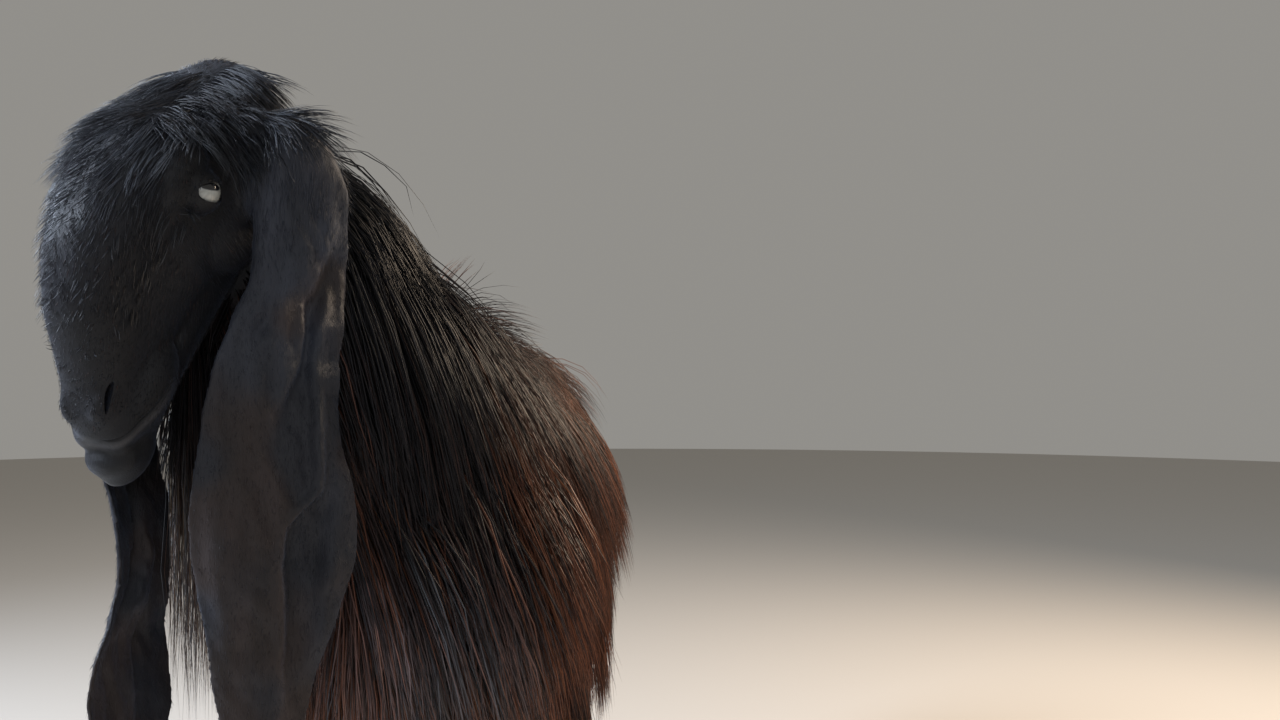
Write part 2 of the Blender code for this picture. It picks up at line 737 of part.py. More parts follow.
def clean(mesh):
    """Takes out the shortest edges that cuts leave, where the surface stays closed without them, and
    parts the points that touch."""
    shape = bmesh.new()
    shape.from_mesh(mesh)
    in_triangles(shape)
    again = True
    while again:
        again = False
        for edge in [e for e in shape.edges if e.calc_length() < SHORTEST]:
            if not edge.is_valid or edge.calc_length() >= SHORTEST:
                continue
            one, other = edge.verts
            near = {e.other_vert(one) for e in one.link_edges}
            if len(near & {e.other_vert(other) for e in other.link_edges}) == 2:
                bmesh.ops.pointmerge(shape, verts=[one, other], merge_co=one.co.copy())
                again = True
    shape.normal_update()
    for first, second in touching(shape):
        first.co -= first.normal * SHORTEST
        second.co -= second.normal * SHORTEST
    shape.to_mesh(mesh)
    shape.free()


def finish(item, name, slot, roughness=0.6):
    """Names a node, gives it its material and smooth shading."""
    clean(item.data)
    item = largest(item)
    item.name = name
    item.data.materials.clear()
    item.data.materials.append(material(slot, roughness))
    for face in item.data.polygons:
        face.use_smooth = True
    return item


def almond(side):
    """The opening between the lids, as a prism out of the eye."""
    half, height = EYE_OPENING
    rings = []
    for out in (0.3, 2.6):
        ring = []
        for j in range(20):
            turn = 2 * math.pi * j / 20
            long = half * math.cos(turn)
            tall = height * math.sin(turn) * abs(math.sin(turn)) ** 0.35
            along = long * math.cos(EYE_SLANT) + tall * math.sin(EYE_SLANT)
            brow = long * math.sin(EYE_SLANT) - tall * math.cos(EYE_SLANT)
            place = (EYE_PLACE[0] + along, EYE_PLACE[1] + out, EYE_PLACE[2] + brow - 0.12 * out)
            ring.append(on_head(place, side))
        rings.append(ring)
    return lofted("almond", rings)


def nostril(side):
    """A comma-shaped hollow from the outer top to the inner foot of the nostril."""
    top, foot = Vector(NOSTRIL_TOP), Vector(NOSTRIL_FOOT)
    long = (foot - top).normalized()
    inward = Vector((-0.25, -0.75, -0.35))
    inward = (inward - long * inward.dot(long)).normalized()
    across = long.cross(inward)
    shape = bmesh.new()
    bmesh.ops.create_icosphere(shape, subdivisions=2, radius=1.0)
    for vertex in shape.verts:
        u, v, w = vertex.co
        open_more = 1.0 - 0.45 * u
        place = (top + foot) / 2 + long * u * NOSTRIL_SIZE[0] + inward * w * NOSTRIL_SIZE[2]
        place += across * (v * NOSTRIL_SIZE[1] * open_more + 0.22 * u * u)
        vertex.co = on_head(place, side)
    return placed("nostril", shape)


def mouth_line():
    """The groove between the lips, from one corner round the front to the other."""
    corner, front = Vector(MOUTH_CORNER), Vector(MOUTH_FRONT)
    rings = []
    for i in range(13):
        turn = math.pi * (i / 12 - 0.5)
        inner = []
        across = corner.y * math.sin(turn)
        along = corner.x + (front.x - corner.x) * math.cos(turn) ** 0.75
        brow = corner.z + (front.z - corner.z) * math.cos(turn)
        fade = 0.35 + 0.65 * min(1.0, 2.2 * math.cos(turn))
        out = Vector((math.cos(turn), math.sin(turn) * 0.8, 0)).normalized()
        middle = Vector((along, across, brow))
        inner.append(on_head(middle + out * 0.6 + Vector((0, 0, 0.22))))
        inner.append(on_head(middle + out * 0.6 - Vector((0, 0, 0.22))))
        inner.append(on_head(middle - out * MOUTH_DEPTH * fade))
        rings.append(inner)
    return lofted("mouth_line", rings)


def head():
    """The head with its lids, sockets, nostrils and mouth line."""
    made = fused("head", head_forms(), 0.0022, 3, 1350)
    with_forms(made, forelocks(tree_of(made)), "UNION", "MANIFOLD")
    lids = [ball("lid", EYE_PLACE, (EYE_RADIUS + LID,) * 3, side) for side in (1, -1)]
    with_forms(made, lids, "UNION")
    hollows = [mouth_line()]
    for side in (1, -1):
        hollows += [ball("socket", EYE_PLACE, (EYE_RADIUS + EYE_CLEAR,) * 3, side), almond(side), nostril(side)]
    return largest(with_forms(made, hollows, "DIFFERENCE"))


def ear(name, rows, foot, width, side, cells=9, steps=18):
    """A hanging ear: a folded sheet as thick as an ear, thinner at its rim, with a stout root."""
    outward = width.cross(Vector((0, 0, 1))) * side
    places = np.array([fold[0] for fold in EAR_FOLD])
    depths = np.array([fold[1] for fold in EAR_FOLD])
    rings = []
    for i, row in enumerate(through(rows, steps)):
        down = i / (steps - 1)
        folded = min(1.0, max(0.0, 4.0 * down - 0.5)) * (1.0 - 0.5 * down**4)
        front, back = [], []
        for j in range(cells + 1):
            u = 2 * j / cells - 1
            place = foot + Vector((0, 0, row[0])) + width * (row[1] + u * row[3]) + outward * row[2]
            place += outward * (float(np.interp(u, places, depths)) * folded - 0.008 * u * u * (1 - folded))
            thick = row[4] * (EAR_RIM + (1 - EAR_RIM) * (1 - u * u))
            if row[4] > 0.010:
                thick = row[4] * (0.12 + 0.88 * math.sqrt(1 - u * u))
            front.append(place + outward * thick / 2)
            back.append(place - outward * thick / 2)
        rings.append(front + back[::-1])
    return lofted(name, rings)


def claw(foot, side, out):
    """One claw of a hoof: flat below, sloping at the toe and narrower on top."""
    rings = []
    for level, lean, grow in ((0.0, 0.0, 1.0), (0.4, 0.0035, 0.97), (1.0, 0.010, 0.84)):
        ring = []
        for j in range(12):
            turn = 2 * math.pi * j / 12
            forward = math.cos(turn)
            across = math.sin(turn)
            taper = 1.0 - 0.25 * max(forward, 0.0) ** 2
            flat = 0.55 if across * out < 0 else 1.0
            x = foot[0] * side + out * CLAW_OUT + across * SOLE[1] * taper * flat * grow
            y = foot[1] - forward * SOLE[0] * grow + lean
            ring.append(Vector((x, y, level * (HOOF_HEIGHT - GAP))))
        rings.append(ring)
    return lofted("claw", rings)


def settle(nodes):
    """Moves all nodes together so that the part stands on z = 0 over its own middle."""
    places = np.array([vertex.co[:] for node in nodes for vertex in node.data.vertices])
    low, high = places.min(axis=0), places.max(axis=0)
    shift = Vector((-(low[0] + high[0]) / 2, -(low[1] + high[1]) / 2, -low[2]))
    for node in nodes:
        node.data.transform(Matrix.Translation(shift))
    return shift


def parted_body(grow=0.0):
    """The fused body cut into torso, neck and four legs."""
    body = fused("body", body_forms(grow), 0.006, 6, 2700)
    tree = tree_of(body)
    middle, tilt = NECK_CUT
    cuts = [slab(middle, (0.5, GAP, 0.44), -tilt), slab((0, 0, LEG_CUT), (0.5, 1.2, GAP))]
    cuts.append(slab((0, 0, HOOF_HEIGHT - 0.05), (0.5, 1.2, 0.1)))
    with_forms(body, cuts, "DIFFERENCE")
    found = {}
    for group in islands(body.data)[:6]:
        middle = sum((body.data.polygons[i].center for i in group), Vector()) / len(group)
        if middle.z > LEG_CUT:
            name = "neck" if middle.y < -0.30 else "torso"
        else:
            name = "leg_" + ("front" if middle.y < 0 else "rear") + ("_left" if middle.x > 0 else "_right")
        found[name] = kept(body, group, name)
    remove([body])
    return found, tree


def main():
    clear_scene()
    chance = random.Random(SEED)
    nodes = []
    parts, tree = parted_body(CORE)
    skull_node = head()
    ears = {}
    for word, side, rows, foot, width in (
        ("left", 1, EAR_LEFT, EAR_FOOT_LEFT, EAR_WIDTH_LEFT),
        ("right", -1, EAR_RIGHT, EAR_FOOT_RIGHT, EAR_WIDTH_RIGHT),
    ):
        sheet = ear("ear_" + word, rows, foot, width, side)
        ears[word] = largest(with_forms(sheet, [grown(skull_node, GAP)], "DIFFERENCE"))
    neck = with_forms(parts.pop("neck"), neck_locks(tree, chance), "UNION", "MANIFOLD")
    near = [grown(skull_node, GAP)] + [grown(sheet, 4 * GAP) for sheet in ears.values()]
    neck = largest(with_forms(neck, near, "DIFFERENCE", "MANIFOLD"))
    torso = with_forms(parts.pop("torso"), torso_locks(tree, chance), "UNION", "MANIFOLD")
    tail = limb("tail", TAIL, 10, 10)
    tail = largest(with_forms(tail, tail_locks(tree_of(tail), chance), "UNION", "MANIFOLD"))
    near = [grown(neck, 2 * GAP), grown(tail, 2 * GAP)]
    torso = largest(with_forms(torso, near, "DIFFERENCE", "MANIFOLD"))
    nodes.append(finish(neck, "neck", "coat"))
    nodes.append(finish(torso, "torso", "coat"))
    nodes.append(finish(tail, "tail", "coat"))
    for name in sorted(parts):
        nodes.append(finish(parts[name], name, "leg"))
    for side, word in ((1, "left"), (-1, "right")):
        nodes.append(finish(ears[word], "ear_" + word, "ear"))
        eye = ball("eye_" + word, EYE_PLACE, (EYE_RADIUS,) * 3, side)
        nodes.append(finish(eye, "eye_" + word, "eye", 0.1))
        for end, foot in (("front", FOREFOOT), ("rear", HINDFOOT)):
            for out, edge in ((side, "outer"), (-side, "inner")):
                nodes.append(finish(claw(foot, side, out), "claw_" + end + "_" + word + "_" + edge, "hoof"))
    nodes.append(finish(skull_node, "head", "face"))
    settle(nodes)


main()
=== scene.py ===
"""The long-coated goat as it looks: one skin with head, ears and legs, and its coat as mesh tufts.

Sizes are metres in the model's own frame, which faces -Y. Everything is moved at the end to where the
solids stand.
"""

import math

import bmesh
import bpy
import numpy as np
from mathutils import Matrix, Vector, noise
from mathutils.bvhtree import BVHTree
from mathutils.kdtree import KDTree

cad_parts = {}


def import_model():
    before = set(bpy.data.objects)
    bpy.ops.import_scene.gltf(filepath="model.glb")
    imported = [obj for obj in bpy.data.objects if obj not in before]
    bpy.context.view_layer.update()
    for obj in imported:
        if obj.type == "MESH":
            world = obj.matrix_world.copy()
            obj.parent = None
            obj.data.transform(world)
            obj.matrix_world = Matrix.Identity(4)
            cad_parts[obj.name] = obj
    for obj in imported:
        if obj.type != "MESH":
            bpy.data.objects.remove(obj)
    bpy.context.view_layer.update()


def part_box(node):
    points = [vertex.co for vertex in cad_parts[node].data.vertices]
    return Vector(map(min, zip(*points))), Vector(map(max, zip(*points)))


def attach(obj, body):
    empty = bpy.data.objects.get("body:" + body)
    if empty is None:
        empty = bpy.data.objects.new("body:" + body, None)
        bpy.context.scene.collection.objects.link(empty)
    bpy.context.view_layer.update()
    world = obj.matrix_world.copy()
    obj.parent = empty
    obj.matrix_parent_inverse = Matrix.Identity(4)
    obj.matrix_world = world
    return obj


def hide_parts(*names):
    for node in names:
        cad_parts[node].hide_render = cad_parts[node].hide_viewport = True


CM = 0.01
SEED = 5

# The head's place and turn
POLL = Vector((-0.1235, -0.526, 0.908))
HEAD_TURN = math.radians(19.5)
HEAD_DROP = math.radians(64.8)
HEAD_TILT = math.radians(-2.3)

# Camera
CAMERA = Vector((0.232, -1.445, 0.720))
LOOK = math.radians(1.6)
LENS = 36.0

# Torso from brisket to rump: x, y, z of the middle, half width, height above it, depth below it
TORSO = (
    (0.0, -0.385, 0.545, 0.040, 0.050, 0.050),
    (0.0, -0.335, 0.565, 0.086, 0.125, 0.125),
    (0.0, -0.235, 0.585, 0.110, 0.170, 0.185),
    (0.0, -0.110, 0.580, 0.120, 0.170, 0.190),
    (0.0, 0.030, 0.575, 0.120, 0.160, 0.185),
    (0.0, 0.160, 0.580, 0.115, 0.150, 0.175),
    (0.0, 0.270, 0.600, 0.100, 0.132, 0.155),
    (0.0, 0.350, 0.612, 0.074, 0.098, 0.110),
    (0.0, 0.395, 0.618, 0.030, 0.050, 0.050),
)
BACK_PINCH = 0.42

# Neck from inside the chest to the back of the skull: middle, half width, throat depth, crest height
NECK = (
    (0.0, -0.190, 0.560, 0.085, 0.120, 0.120),
    (-0.012, -0.275, 0.635, 0.094, 0.120, 0.116),
    (-0.046, -0.365, 0.720, 0.084, 0.092, 0.104),
    (-0.076, -0.435, 0.795, 0.068, 0.072, 0.088),
    (-0.098, -0.480, 0.845, 0.056, 0.058, 0.062),
)

# Left foreleg and hind leg from inside the body to the foot: middle, half width, rear and front radius
FORELEG = (
    (0.070, -0.235, 0.540, 0.040, 0.075, 0.075),
    (0.088, -0.215, 0.440, 0.036, 0.055, 0.058),
    (0.092, -0.222, 0.340, 0.027, 0.034, 0.034),
    (0.092, -0.236, 0.262, 0.026, 0.026, 0.030),
    (0.092, -0.236, 0.225, 0.021, 0.021, 0.024),
    (0.092, -0.232, 0.150, 0.0165, 0.018, 0.018),
    (0.092, -0.232, 0.098, 0.023, 0.026, 0.022),
    (0.092, -0.246, 0.062, 0.020, 0.020, 0.020),
    (0.092, -0.262, 0.030, 0.027, 0.026, 0.026),
)
HINDLEG = (
    (0.055, 0.270, 0.600, 0.044, 0.080, 0.095),
    (0.080, 0.235, 0.490, 0.042, 0.085, 0.085),
    (0.092, 0.262, 0.395, 0.030, 0.050, 0.050),
    (0.092, 0.322, 0.320, 0.021, 0.028, 0.026),
    (0.092, 0.345, 0.275, 0.023, 0.028, 0.027),
    (0.092, 0.335, 0.215, 0.019, 0.021, 0.021),
    (0.092, 0.322, 0.150, 0.017, 0.018, 0.019),
    (0.092, 0.314, 0.098, 0.023, 0.026, 0.023),
    (0.092, 0.298, 0.062, 0.020, 0.020, 0.020),
    (0.092, 0.282, 0.030, 0.027, 0.026, 0.026),
)

# Skull in head centimetres: along the nose from the poll, level of the widest part, half width, top, bottom
SKULL = (
    (-4.5, -3.6, 2.6, -1.0, -6.2),
    (-2.5, -3.0, 4.3, 0.3, -8.0),
    (1.0, -2.0, 5.3, 2.2, -8.8),
    (4.5, -1.2, 5.6, 4.5, -8.9),
    (8.0, -0.3, 5.1, 5.5, -8.3),
    (11.5, 0.6, 4.1, 5.9, -7.6),
    (15.0, 0.9, 3.3, 5.6, -6.8),
    (18.5, 0.0, 2.8, 3.9, -6.1),
    (21.0, -1.6, 2.5, 1.6, -6.0),
    (23.0, -2.7, 2.25, -0.3, -5.6),
    (24.6, -3.4, 1.8, -1.7, -5.1),
    (25.4, -3.7, 1.0, -2.7, -4.6),
)
# Lower jaw: along the nose, level of its middle, half width, half height
JAW = (
    (3.5, -6.0, 3.4, 3.0),
    (7.5, -6.2, 3.9, 3.1),
    (12.5, -6.2, 3.1, 2.5),
    (17.3, -6.0, 2.5, 1.9),
    (21.3, -5.9, 2.2, 1.6),
    (24.3, -5.7, 2.1, 1.5),
    (26.0, -5.3, 1.8, 1.2),
    (26.8, -5.0, 1.0, 0.7),
)

# Balls fused into each side of the head, and into its middle: name, place and radii, head centimetres
SIDE_BALLS = (
    ("brow", (7.4, 3.7, 1.8), (3.2, 1.9, 2.1)),
    ("cheek", (6.0, 3.6, -4.6), (5.2, 2.0, 3.6)),
    ("nostril_wing", (22.6, 1.2, -1.9), (2.0, 1.05, 1.4)),
    ("upper_lip", (22.8, 1.3, -3.9), (2.9, 1.5, 1.35)),
    ("lip_side", (20.6, 1.6, -4.4), (3.8, 1.75, 2.0)),
    ("ear_root", (2.6, 5.0, -1.6), (2.6, 1.7, 2.4)),
)
MIDDLE_BALLS = (
    ("lower_lip", (25.6, 0.0, -5.3), (1.6, 2.3, 1.0)),
    ("chin", (24.7, 0.0, -6.3), (2.7, 2.2, 1.4)),
)

# Where the forms of the head melt into each other: place in head centimetres and reach
SOFT_PLACES = (
    ((2.6, 5.0, -1.6), 5.0),
    ((6.5, 3.8, -5.6), 5.4),
    ((12.5, 3.0, -5.5), 4.0),
    ((1.0, 0.0, 2.0), 4.0),
    ((25.0, 0.6, -5.0), 3.2),
    ((22.2, 1.8, -4.2), 3.0),
    ((22.6, 1.2, -1.6), 2.4),
)
TEMPLES = ((-0.067, -0.532, 0.852), (-0.163, -0.500, 0.852))
TEMPLE_SIZE = (0.020, 0.024, 0.034)

EYE_PLACE = (8.1, 4.8, 0.6)
EYE_RADIUS = 1.45
EYE_CLEAR = 0.03
LID = 0.20
EYE_SLANT = math.radians(60.0)
EYE_OPENING = (1.34, 0.66, 0.70)
NOSTRIL_SIZE = (1.25, 0.22, 1.0)
NOSTRIL_TOP = (22.1, 2.9, -0.4)
NOSTRIL_FOOT = (23.7, 0.9, -2.0)
MOUTH_DEPTH = 0.7
MOUTH_CORNER = (19.9, 3.2, -4.7)
MOUTH_FRONT = (26.2, 0.0, -2.9)

# Rows of each hanging ear: level, place along, place out, half width and thickness
EAR_LEFT = (
    (0.894, 0.011, 0.0, 0.011, 0.020),
    (0.885, 0.016, 0.0, 0.021, 0.032),
    (0.872, 0.0205, 0.0, 0.028, 0.036),
    (0.856, 0.0235, 0.0, 0.0335, 0.028),
    (0.833, 0.027, 0.0, 0.037, 0.015),
    (0.782, 0.028, 0.0, 0.038, 0.0072),
    (0.747, 0.0175, 0.0, 0.043, 0.0060),
    (0.711, 0.009, 0.0, 0.047, 0.0052),
    (0.663, 0.005, 0.0, 0.0525, 0.0048),
    (0.621, 0.007, 0.0, 0.060, 0.0048),
    (0.578, 0.009, 0.0, 0.0595, 0.0048),
    (0.535, 0.0065, 0.0, 0.049, 0.0048),
    (0.495, 0.0015, 0.0, 0.039, 0.0046),
    (0.456, 0.0, 0.0, 0.029, 0.0042),
    (0.438, 0.0, 0.0, 0.012, 0.0036),
)
EAR_RIGHT = (
    (0.896, 0.0, 0.006, 0.011, 0.020),
    (0.887, 0.0, 0.011, 0.021, 0.032),
    (0.874, 0.0, 0.015, 0.028, 0.036),
    (0.858, 0.0, 0.017, 0.033, 0.028),
    (0.835, 0.0, 0.018, 0.0365, 0.015),
    (0.785, 0.0, 0.016, 0.039, 0.0072),
    (0.730, 0.0, 0.012, 0.043, 0.0060),
    (0.675, 0.0, 0.006, 0.043, 0.0052),
    (0.615, 0.0, -0.002, 0.034, 0.0048),
    (0.565, 0.0, -0.006, 0.0285, 0.0048),
    (0.530, 0.0, -0.004, 0.039, 0.0048),
    (0.495, 0.0, 0.0, 0.053, 0.0048),
    (0.460, 0.0, 0.0, 0.052, 0.0046),
    (0.432, 0.0, 0.0, 0.035, 0.0042),
    (0.420, 0.0, 0.0, 0.014, 0.0036),
)
# Each ear is an upright sheet: its side, a foot under it, the direction from its front edge, and its rows
EARS = {
    "left": (1, Vector((-0.0556, -0.5495, 0.0)), Vector((0.788, 0.616, 0.0)), EAR_LEFT),
    "right": (-1, Vector((-0.1775, -0.4975, 0.0)), Vector((0.211, 0.977, 0.0)), EAR_RIGHT),
}
# The creases of each ear, from the top down. Rows of one crease are level, place from the front edge
# (-1) to the back edge (1), how far the sheet steps out behind it, and how far its crest stands out
EAR_CREASES = {
    "left": (
        (
            (0.835, 0.60, 0.0, 0.0), (0.810, 0.48, -0.006, 0.002), (0.785, 0.22, -0.010, 0.002),
            (0.763, 0.05, -0.011, 0.002), (0.745, 0.18, -0.010, 0.002), (0.719, 0.29, -0.009, 0.002),
            (0.706, 0.16, -0.006, 0.002), (0.686, -0.01, -0.003, 0.001), (0.668, -0.10, 0.0, 0.0),
        ),
        (
            (0.790, 0.66, 0.0, 0.0), (0.765, 0.58, 0.006, 0.001), (0.745, 0.52, 0.009, 0.002),
            (0.708, 0.53, 0.008, 0.002), (0.690, 0.60, 0.003, 0.003), (0.662, 0.58, 0.0, 0.004),
            (0.627, 0.48, -0.003, 0.004), (0.616, 0.26, -0.007, 0.004), (0.601, 0.01, -0.010, 0.003),
            (0.576, -0.04, -0.012, 0.002), (0.547, 0.01, -0.010, 0.002), (0.512, 0.12, -0.007, 0.002),
            (0.476, 0.21, -0.004, 0.001), (0.440, 0.25, 0.0, 0.0),
        ),
        (
            (0.645, 0.86, 0.0, 0.0), (0.600, 0.62, 0.008, 0.0), (0.560, 0.58, 0.009, 0.0),
            (0.520, 0.66, 0.006, 0.0), (0.470, 0.75, 0.0, 0.0),
        ),
        (
            (0.670, -0.90, 0.0, 0.0), (0.620, -0.84, 0.004, 0.0), (0.570, -0.82, 0.005, 0.001),
            (0.530, -0.78, 0.003, 0.001), (0.490, -0.78, 0.0, 0.0),
        ),
    ),
    "right": (
        (
            (0.830, 0.40, 0.0, 0.0), (0.760, 0.15, 0.007, 0.002), (0.690, 0.20, 0.008, 0.003),
            (0.630, 0.00, 0.003, 0.004), (0.590, 0.05, -0.004, 0.003), (0.560, -0.30, -0.008, 0.003),
            (0.540, -0.62, -0.006, 0.002), (0.515, -0.80, 0.0, 0.0),
        ),
        (
            (0.600, 0.50, 0.0, 0.0), (0.560, 0.30, 0.006, 0.002), (0.510, 0.10, 0.009, 0.002),
            (0.460, 0.20, 0.005, 0.001), (0.425, 0.25, 0.0, 0.0),
        ),
    ),
}
CREASE_WIDTH = 0.0048
CREASE_DEPTH = 1.5
# The ear's one dimple: level, place across and depth
DIMPLE = (0.745, -0.45, 0.005)
DIMPLE_SIZE = (0.008, 0.16)
EAR_CURL = 0.007
EAR_RIM = 0.80
EAR_NICK = 0.0016
EAR_ROOT_THICK = 0.010

TAIL = (
    (0.0, 0.375, 0.672, 0.024, 0.020, 0.022),
    (0.0, 0.425, 0.695, 0.022, 0.018, 0.018),
    (0.0, 0.470, 0.685, 0.018, 0.015, 0.015),
    (0.0, 0.500, 0.650, 0.013, 0.011, 0.011),
    (0.0, 0.510, 0.610, 0.007, 0.006, 0.006),
)

FOREFOOT = (0.092, -0.268)
HINDFOOT = (0.092, 0.276)
HOOF_HEIGHT = 0.038
SOLE = (0.031, 0.0128)
CLAW_OUT = 0.0142
CLAW_STEPS = 14
# Dewclaws: to a side of the foot, behind it, height and radius
DEWCLAW = (0.011, 0.056, 0.088, 0.0085)

# Voxels that fuse body and head, and the rounds of smoothing after them
BODY_VOXEL, BODY_ROUNDS = 0.005, 8
HEAD_VOXEL, HEAD_ROUNDS = 0.0016, 4
SOFT_ROUNDS = 60
# Head and body meet in front of this place, and are smoothed so near to the other's form
HEAD_BACK = -0.35
JOIN_REACH = (0.006, 0.016)
JOIN_ROUNDS = 30

# Each coat: strands, their least and greatest width, points along each and, where it is clumped, the
# strands to a clump, how strongly they are drawn, and their wave
COATS = {
    "coat_body": (29000, (0.0010, 0.0021), 6, (24, 0.6, 0.004)),
    "coat_throat": (5600, (0.0014, 0.0026), 5, (14, 0.3, 0.003)),
    "coat_bib": (1300, (0.0012, 0.0022), 7, (14, 0.35, 0.007)),
    "coat_tail": (900, (0.0015, 0.0025), 6, (20, 0.4, 0.003)),
    "coat_legs": (7000, (0.0008, 0.0013), 3, None),
    "coat_face": (18000, (0.0004, 0.0007), 3, None),
    "coat_brow": (3400, (0.0005, 0.0010), 6, (10, 0.35, 0.0012)),
    "coat_crown": (2200, (0.0006, 0.0012), 5, (8, 0.4, 0.002)),
    "coat_ears": (14000, (0.0003, 0.0006), 3, None),
}
# Length of the long coat, by where it grows
LONG = {
    "flank": 0.175, "back": 0.130, "belly": 0.070, "rump": 0.165,
    "crest": 0.155, "neck": 0.185, "chest": 0.215, "thigh": 0.150,
}
THIGH_MORE = 0.06
# Least and greatest length of the other hair
LENGTHS = {
    "nape": (0.10, 0.15), "withers": (0.07, 0.11), "tail": (0.06, 0.12), "leg": (0.010, 0.016),
    "bib": (0.27, 0.37), "face": (0.007, 0.012), "crown": (0.022, 0.040), "ear": (0.006, 0.011),
}
# How hair hangs: how far it is drawn down with each step, and how far it rises off the skin at its root
HANG = {
    "body": (0.33, 0.12), "nape": (0.33, 0.35), "withers": (0.16, 0.9), "tail": (0.4, 0.2),
    "leg": (0.1, 0.12), "throat": (0.30, 0.30), "bib": (0.5, 0.25), "face": (0.05, 0.08),
    "forelock": (0.04, 0.035), "crown": (0.15, 0.25), "ear": (0.0, 0.07),
}
# Where coats begin and end, along the goat and upwards
HEAD_NEAR, THROAT_BACK, BIB_BACK, TAIL_START, RUMP_END = -0.36, -0.30, -0.43, 0.40, 0.425
COAT_FOOT, THIGH_TOP, TAIL_FOOT = 0.375, 0.50, 0.55
LEG_HEIGHTS, THROAT_HEIGHTS, BIB_HEIGHTS = (0.036, 0.385), (0.50, 0.83), (0.73, 0.85)
# How far to the right and left a strand may reach
REACH = (-0.224, 0.190)
TUFT_FLATNESS = 0.4
ROOT_DEPTH = 0.0015
UNWRAP_FACES = 9000
PIECE_LIMIT = 190000
PATCH_HALF, PATCH_LONG = 0.0012, 0.0026

# Colours of strands and skin, linear
BLACK = (0.0075, 0.0075, 0.0095)
BROWN = (0.044, 0.019, 0.012)
AUBURN = (0.150, 0.054, 0.028)
# Rust brown of a few strands, and the colour of the painted backlight low on the sides
RUST_AND_BACKLIGHT = (0.200, 0.080, 0.034)
TAN = (0.150, 0.105, 0.072)
# Bluish grey of the painted sheen and highlights on the brow, and of the partly painted chest and throat
# hair
SILVER_SHEEN = (0.105, 0.118, 0.140)
# Slate black of the ears, and the bluish colour of the painted sheen on the face
SLATE_AND_SHEEN = (0.017, 0.018, 0.024)
EAR_BROWN = (0.030, 0.020, 0.017)
# Bluish colour of the painted sheen high on the ears
EAR_SHEEN = (0.028, 0.032, 0.045)
LIP = (0.045, 0.043, 0.047)
BLUE_SHEEN = (0.55, 0.68, 1.0)
SHEEN_ROUGHNESS = 0.35
# Roughness, shine and sheen
GLOSS = {"coat": (0.42, 0.17, 0.0), "short_hair": (0.42, 0.30, 0.06), "skin": (0.48, 0.26, 0.09)}
IRIS = ((0.24, 0.245, 0.235), (0.44, 0.45, 0.43))
IRIS_RING = (0.060, 0.045, 0.040)
PUPIL = (0.004, 0.004, 0.006)
PUPIL_SIZE = (0.60, 0.20)
HORN = ((0.016, 0.013, 0.011, 1), (0.060, 0.050, 0.042, 1))
FLOOR = (0.52, 0.49, 0.45, 1)
SKY = (0.62, 0.60, 0.56, 1)
SKY_STRENGTH = 0.46

# Lights: name, place, aim, size, power and colour
LIGHTS = (
    ("sky_left", (-1.9, -1.1, 2.1), (-0.05, -0.35, 0.75), 0.7, 125, (0.76, 0.86, 1.0)),
    ("front", (0.7, -2.8, 1.7), (0.0, -0.3, 0.6), 1.8, 14, (0.92, 0.96, 1.0)),
    ("sun_behind", (2.1, 1.3, 2.0), (0.05, -0.1, 0.6), 0.8, 85, (1.0, 0.80, 0.60)),
    ("sky_behind", (-2.3, 0.5, 1.7), (-0.15, -0.5, 0.8), 0.8, 45, (0.70, 0.82, 1.0)),
)
FLESH = (
    "torso", "neck", "head", "tail", "ear_left", "ear_right",
    "leg_front_left", "leg_front_right", "leg_rear_left", "leg_rear_right",
)


def through(rows, count):
    """As many rows as asked for, on a smooth curve through the given rows."""
    table = np.array(rows, float)
    last = len(table) - 1
    padded = np.vstack([2 * table[0] - table[1], table, 2 * table[-1] - table[-2]])
    made = []
    for place in np.linspace(0.0, last, count):
        start = min(int(place), last - 1)
        f = place - start
        a, b, c, d = padded[start : start + 4]
        curve = 2 * b + (c - a) * f + (2 * a - 5 * b + 4 * c - d) * f**2
        made.append(0.5 * (curve + (3 * b - a - 3 * c + d) * f**3))
    return np.array(made)


def circle(sides):
    """The cosine and sine at each step round a circle."""
    turns = [2 * math.pi * j / sides for j in range(sides)]
    return [(math.cos(turn), math.sin(turn)) for turn in turns]


def linked(name, data):
    """A new object of this mesh, light or camera, in the scene."""
    made = bpy.data.objects.new(name, data)
    bpy.context.collection.objects.link(made)
    return made


def of_bmesh(name, shape):
    """A mesh object of a bmesh, which is used up."""
    mesh = bpy.data.meshes.new(name)
    shape.to_mesh(mesh)
    shape.free()
    return linked(name, mesh)


def placed(name, shape):
    """A mesh object of a bmesh, with its faces pointing out."""
    shape.normal_update()
    bmesh.ops.recalc_face_normals(shape, faces=shape.faces)
    return of_bmesh(name, shape)


def lofted(name, rings):
    """A closed mesh through rings with equal point counts, with a fan of faces over each end."""
    count = len(rings[0])
    points = [Vector(p) for ring in rings for p in ring]
    faces = []
    for i in range(len(rings) - 1):
        for j in range(count):
            k = (j + 1) % count
            low, high = i * count, (i + 1) * count
            faces.append((low + j, low + k, high + k, high + j))
    for start in (0, (len(rings) - 1) * count):
        points.append(sum(points[start : start + count], Vector()) / count)
        hub = len(points) - 1
        faces += [(start + j, start + (j + 1) % count, hub) for j in range(count)]
    shape = bmesh.new()
    corners = [shape.verts.new(p) for p in points]
    for face in faces:
        shape.faces.new([corners[i] for i in face])
    return placed(name, shape)


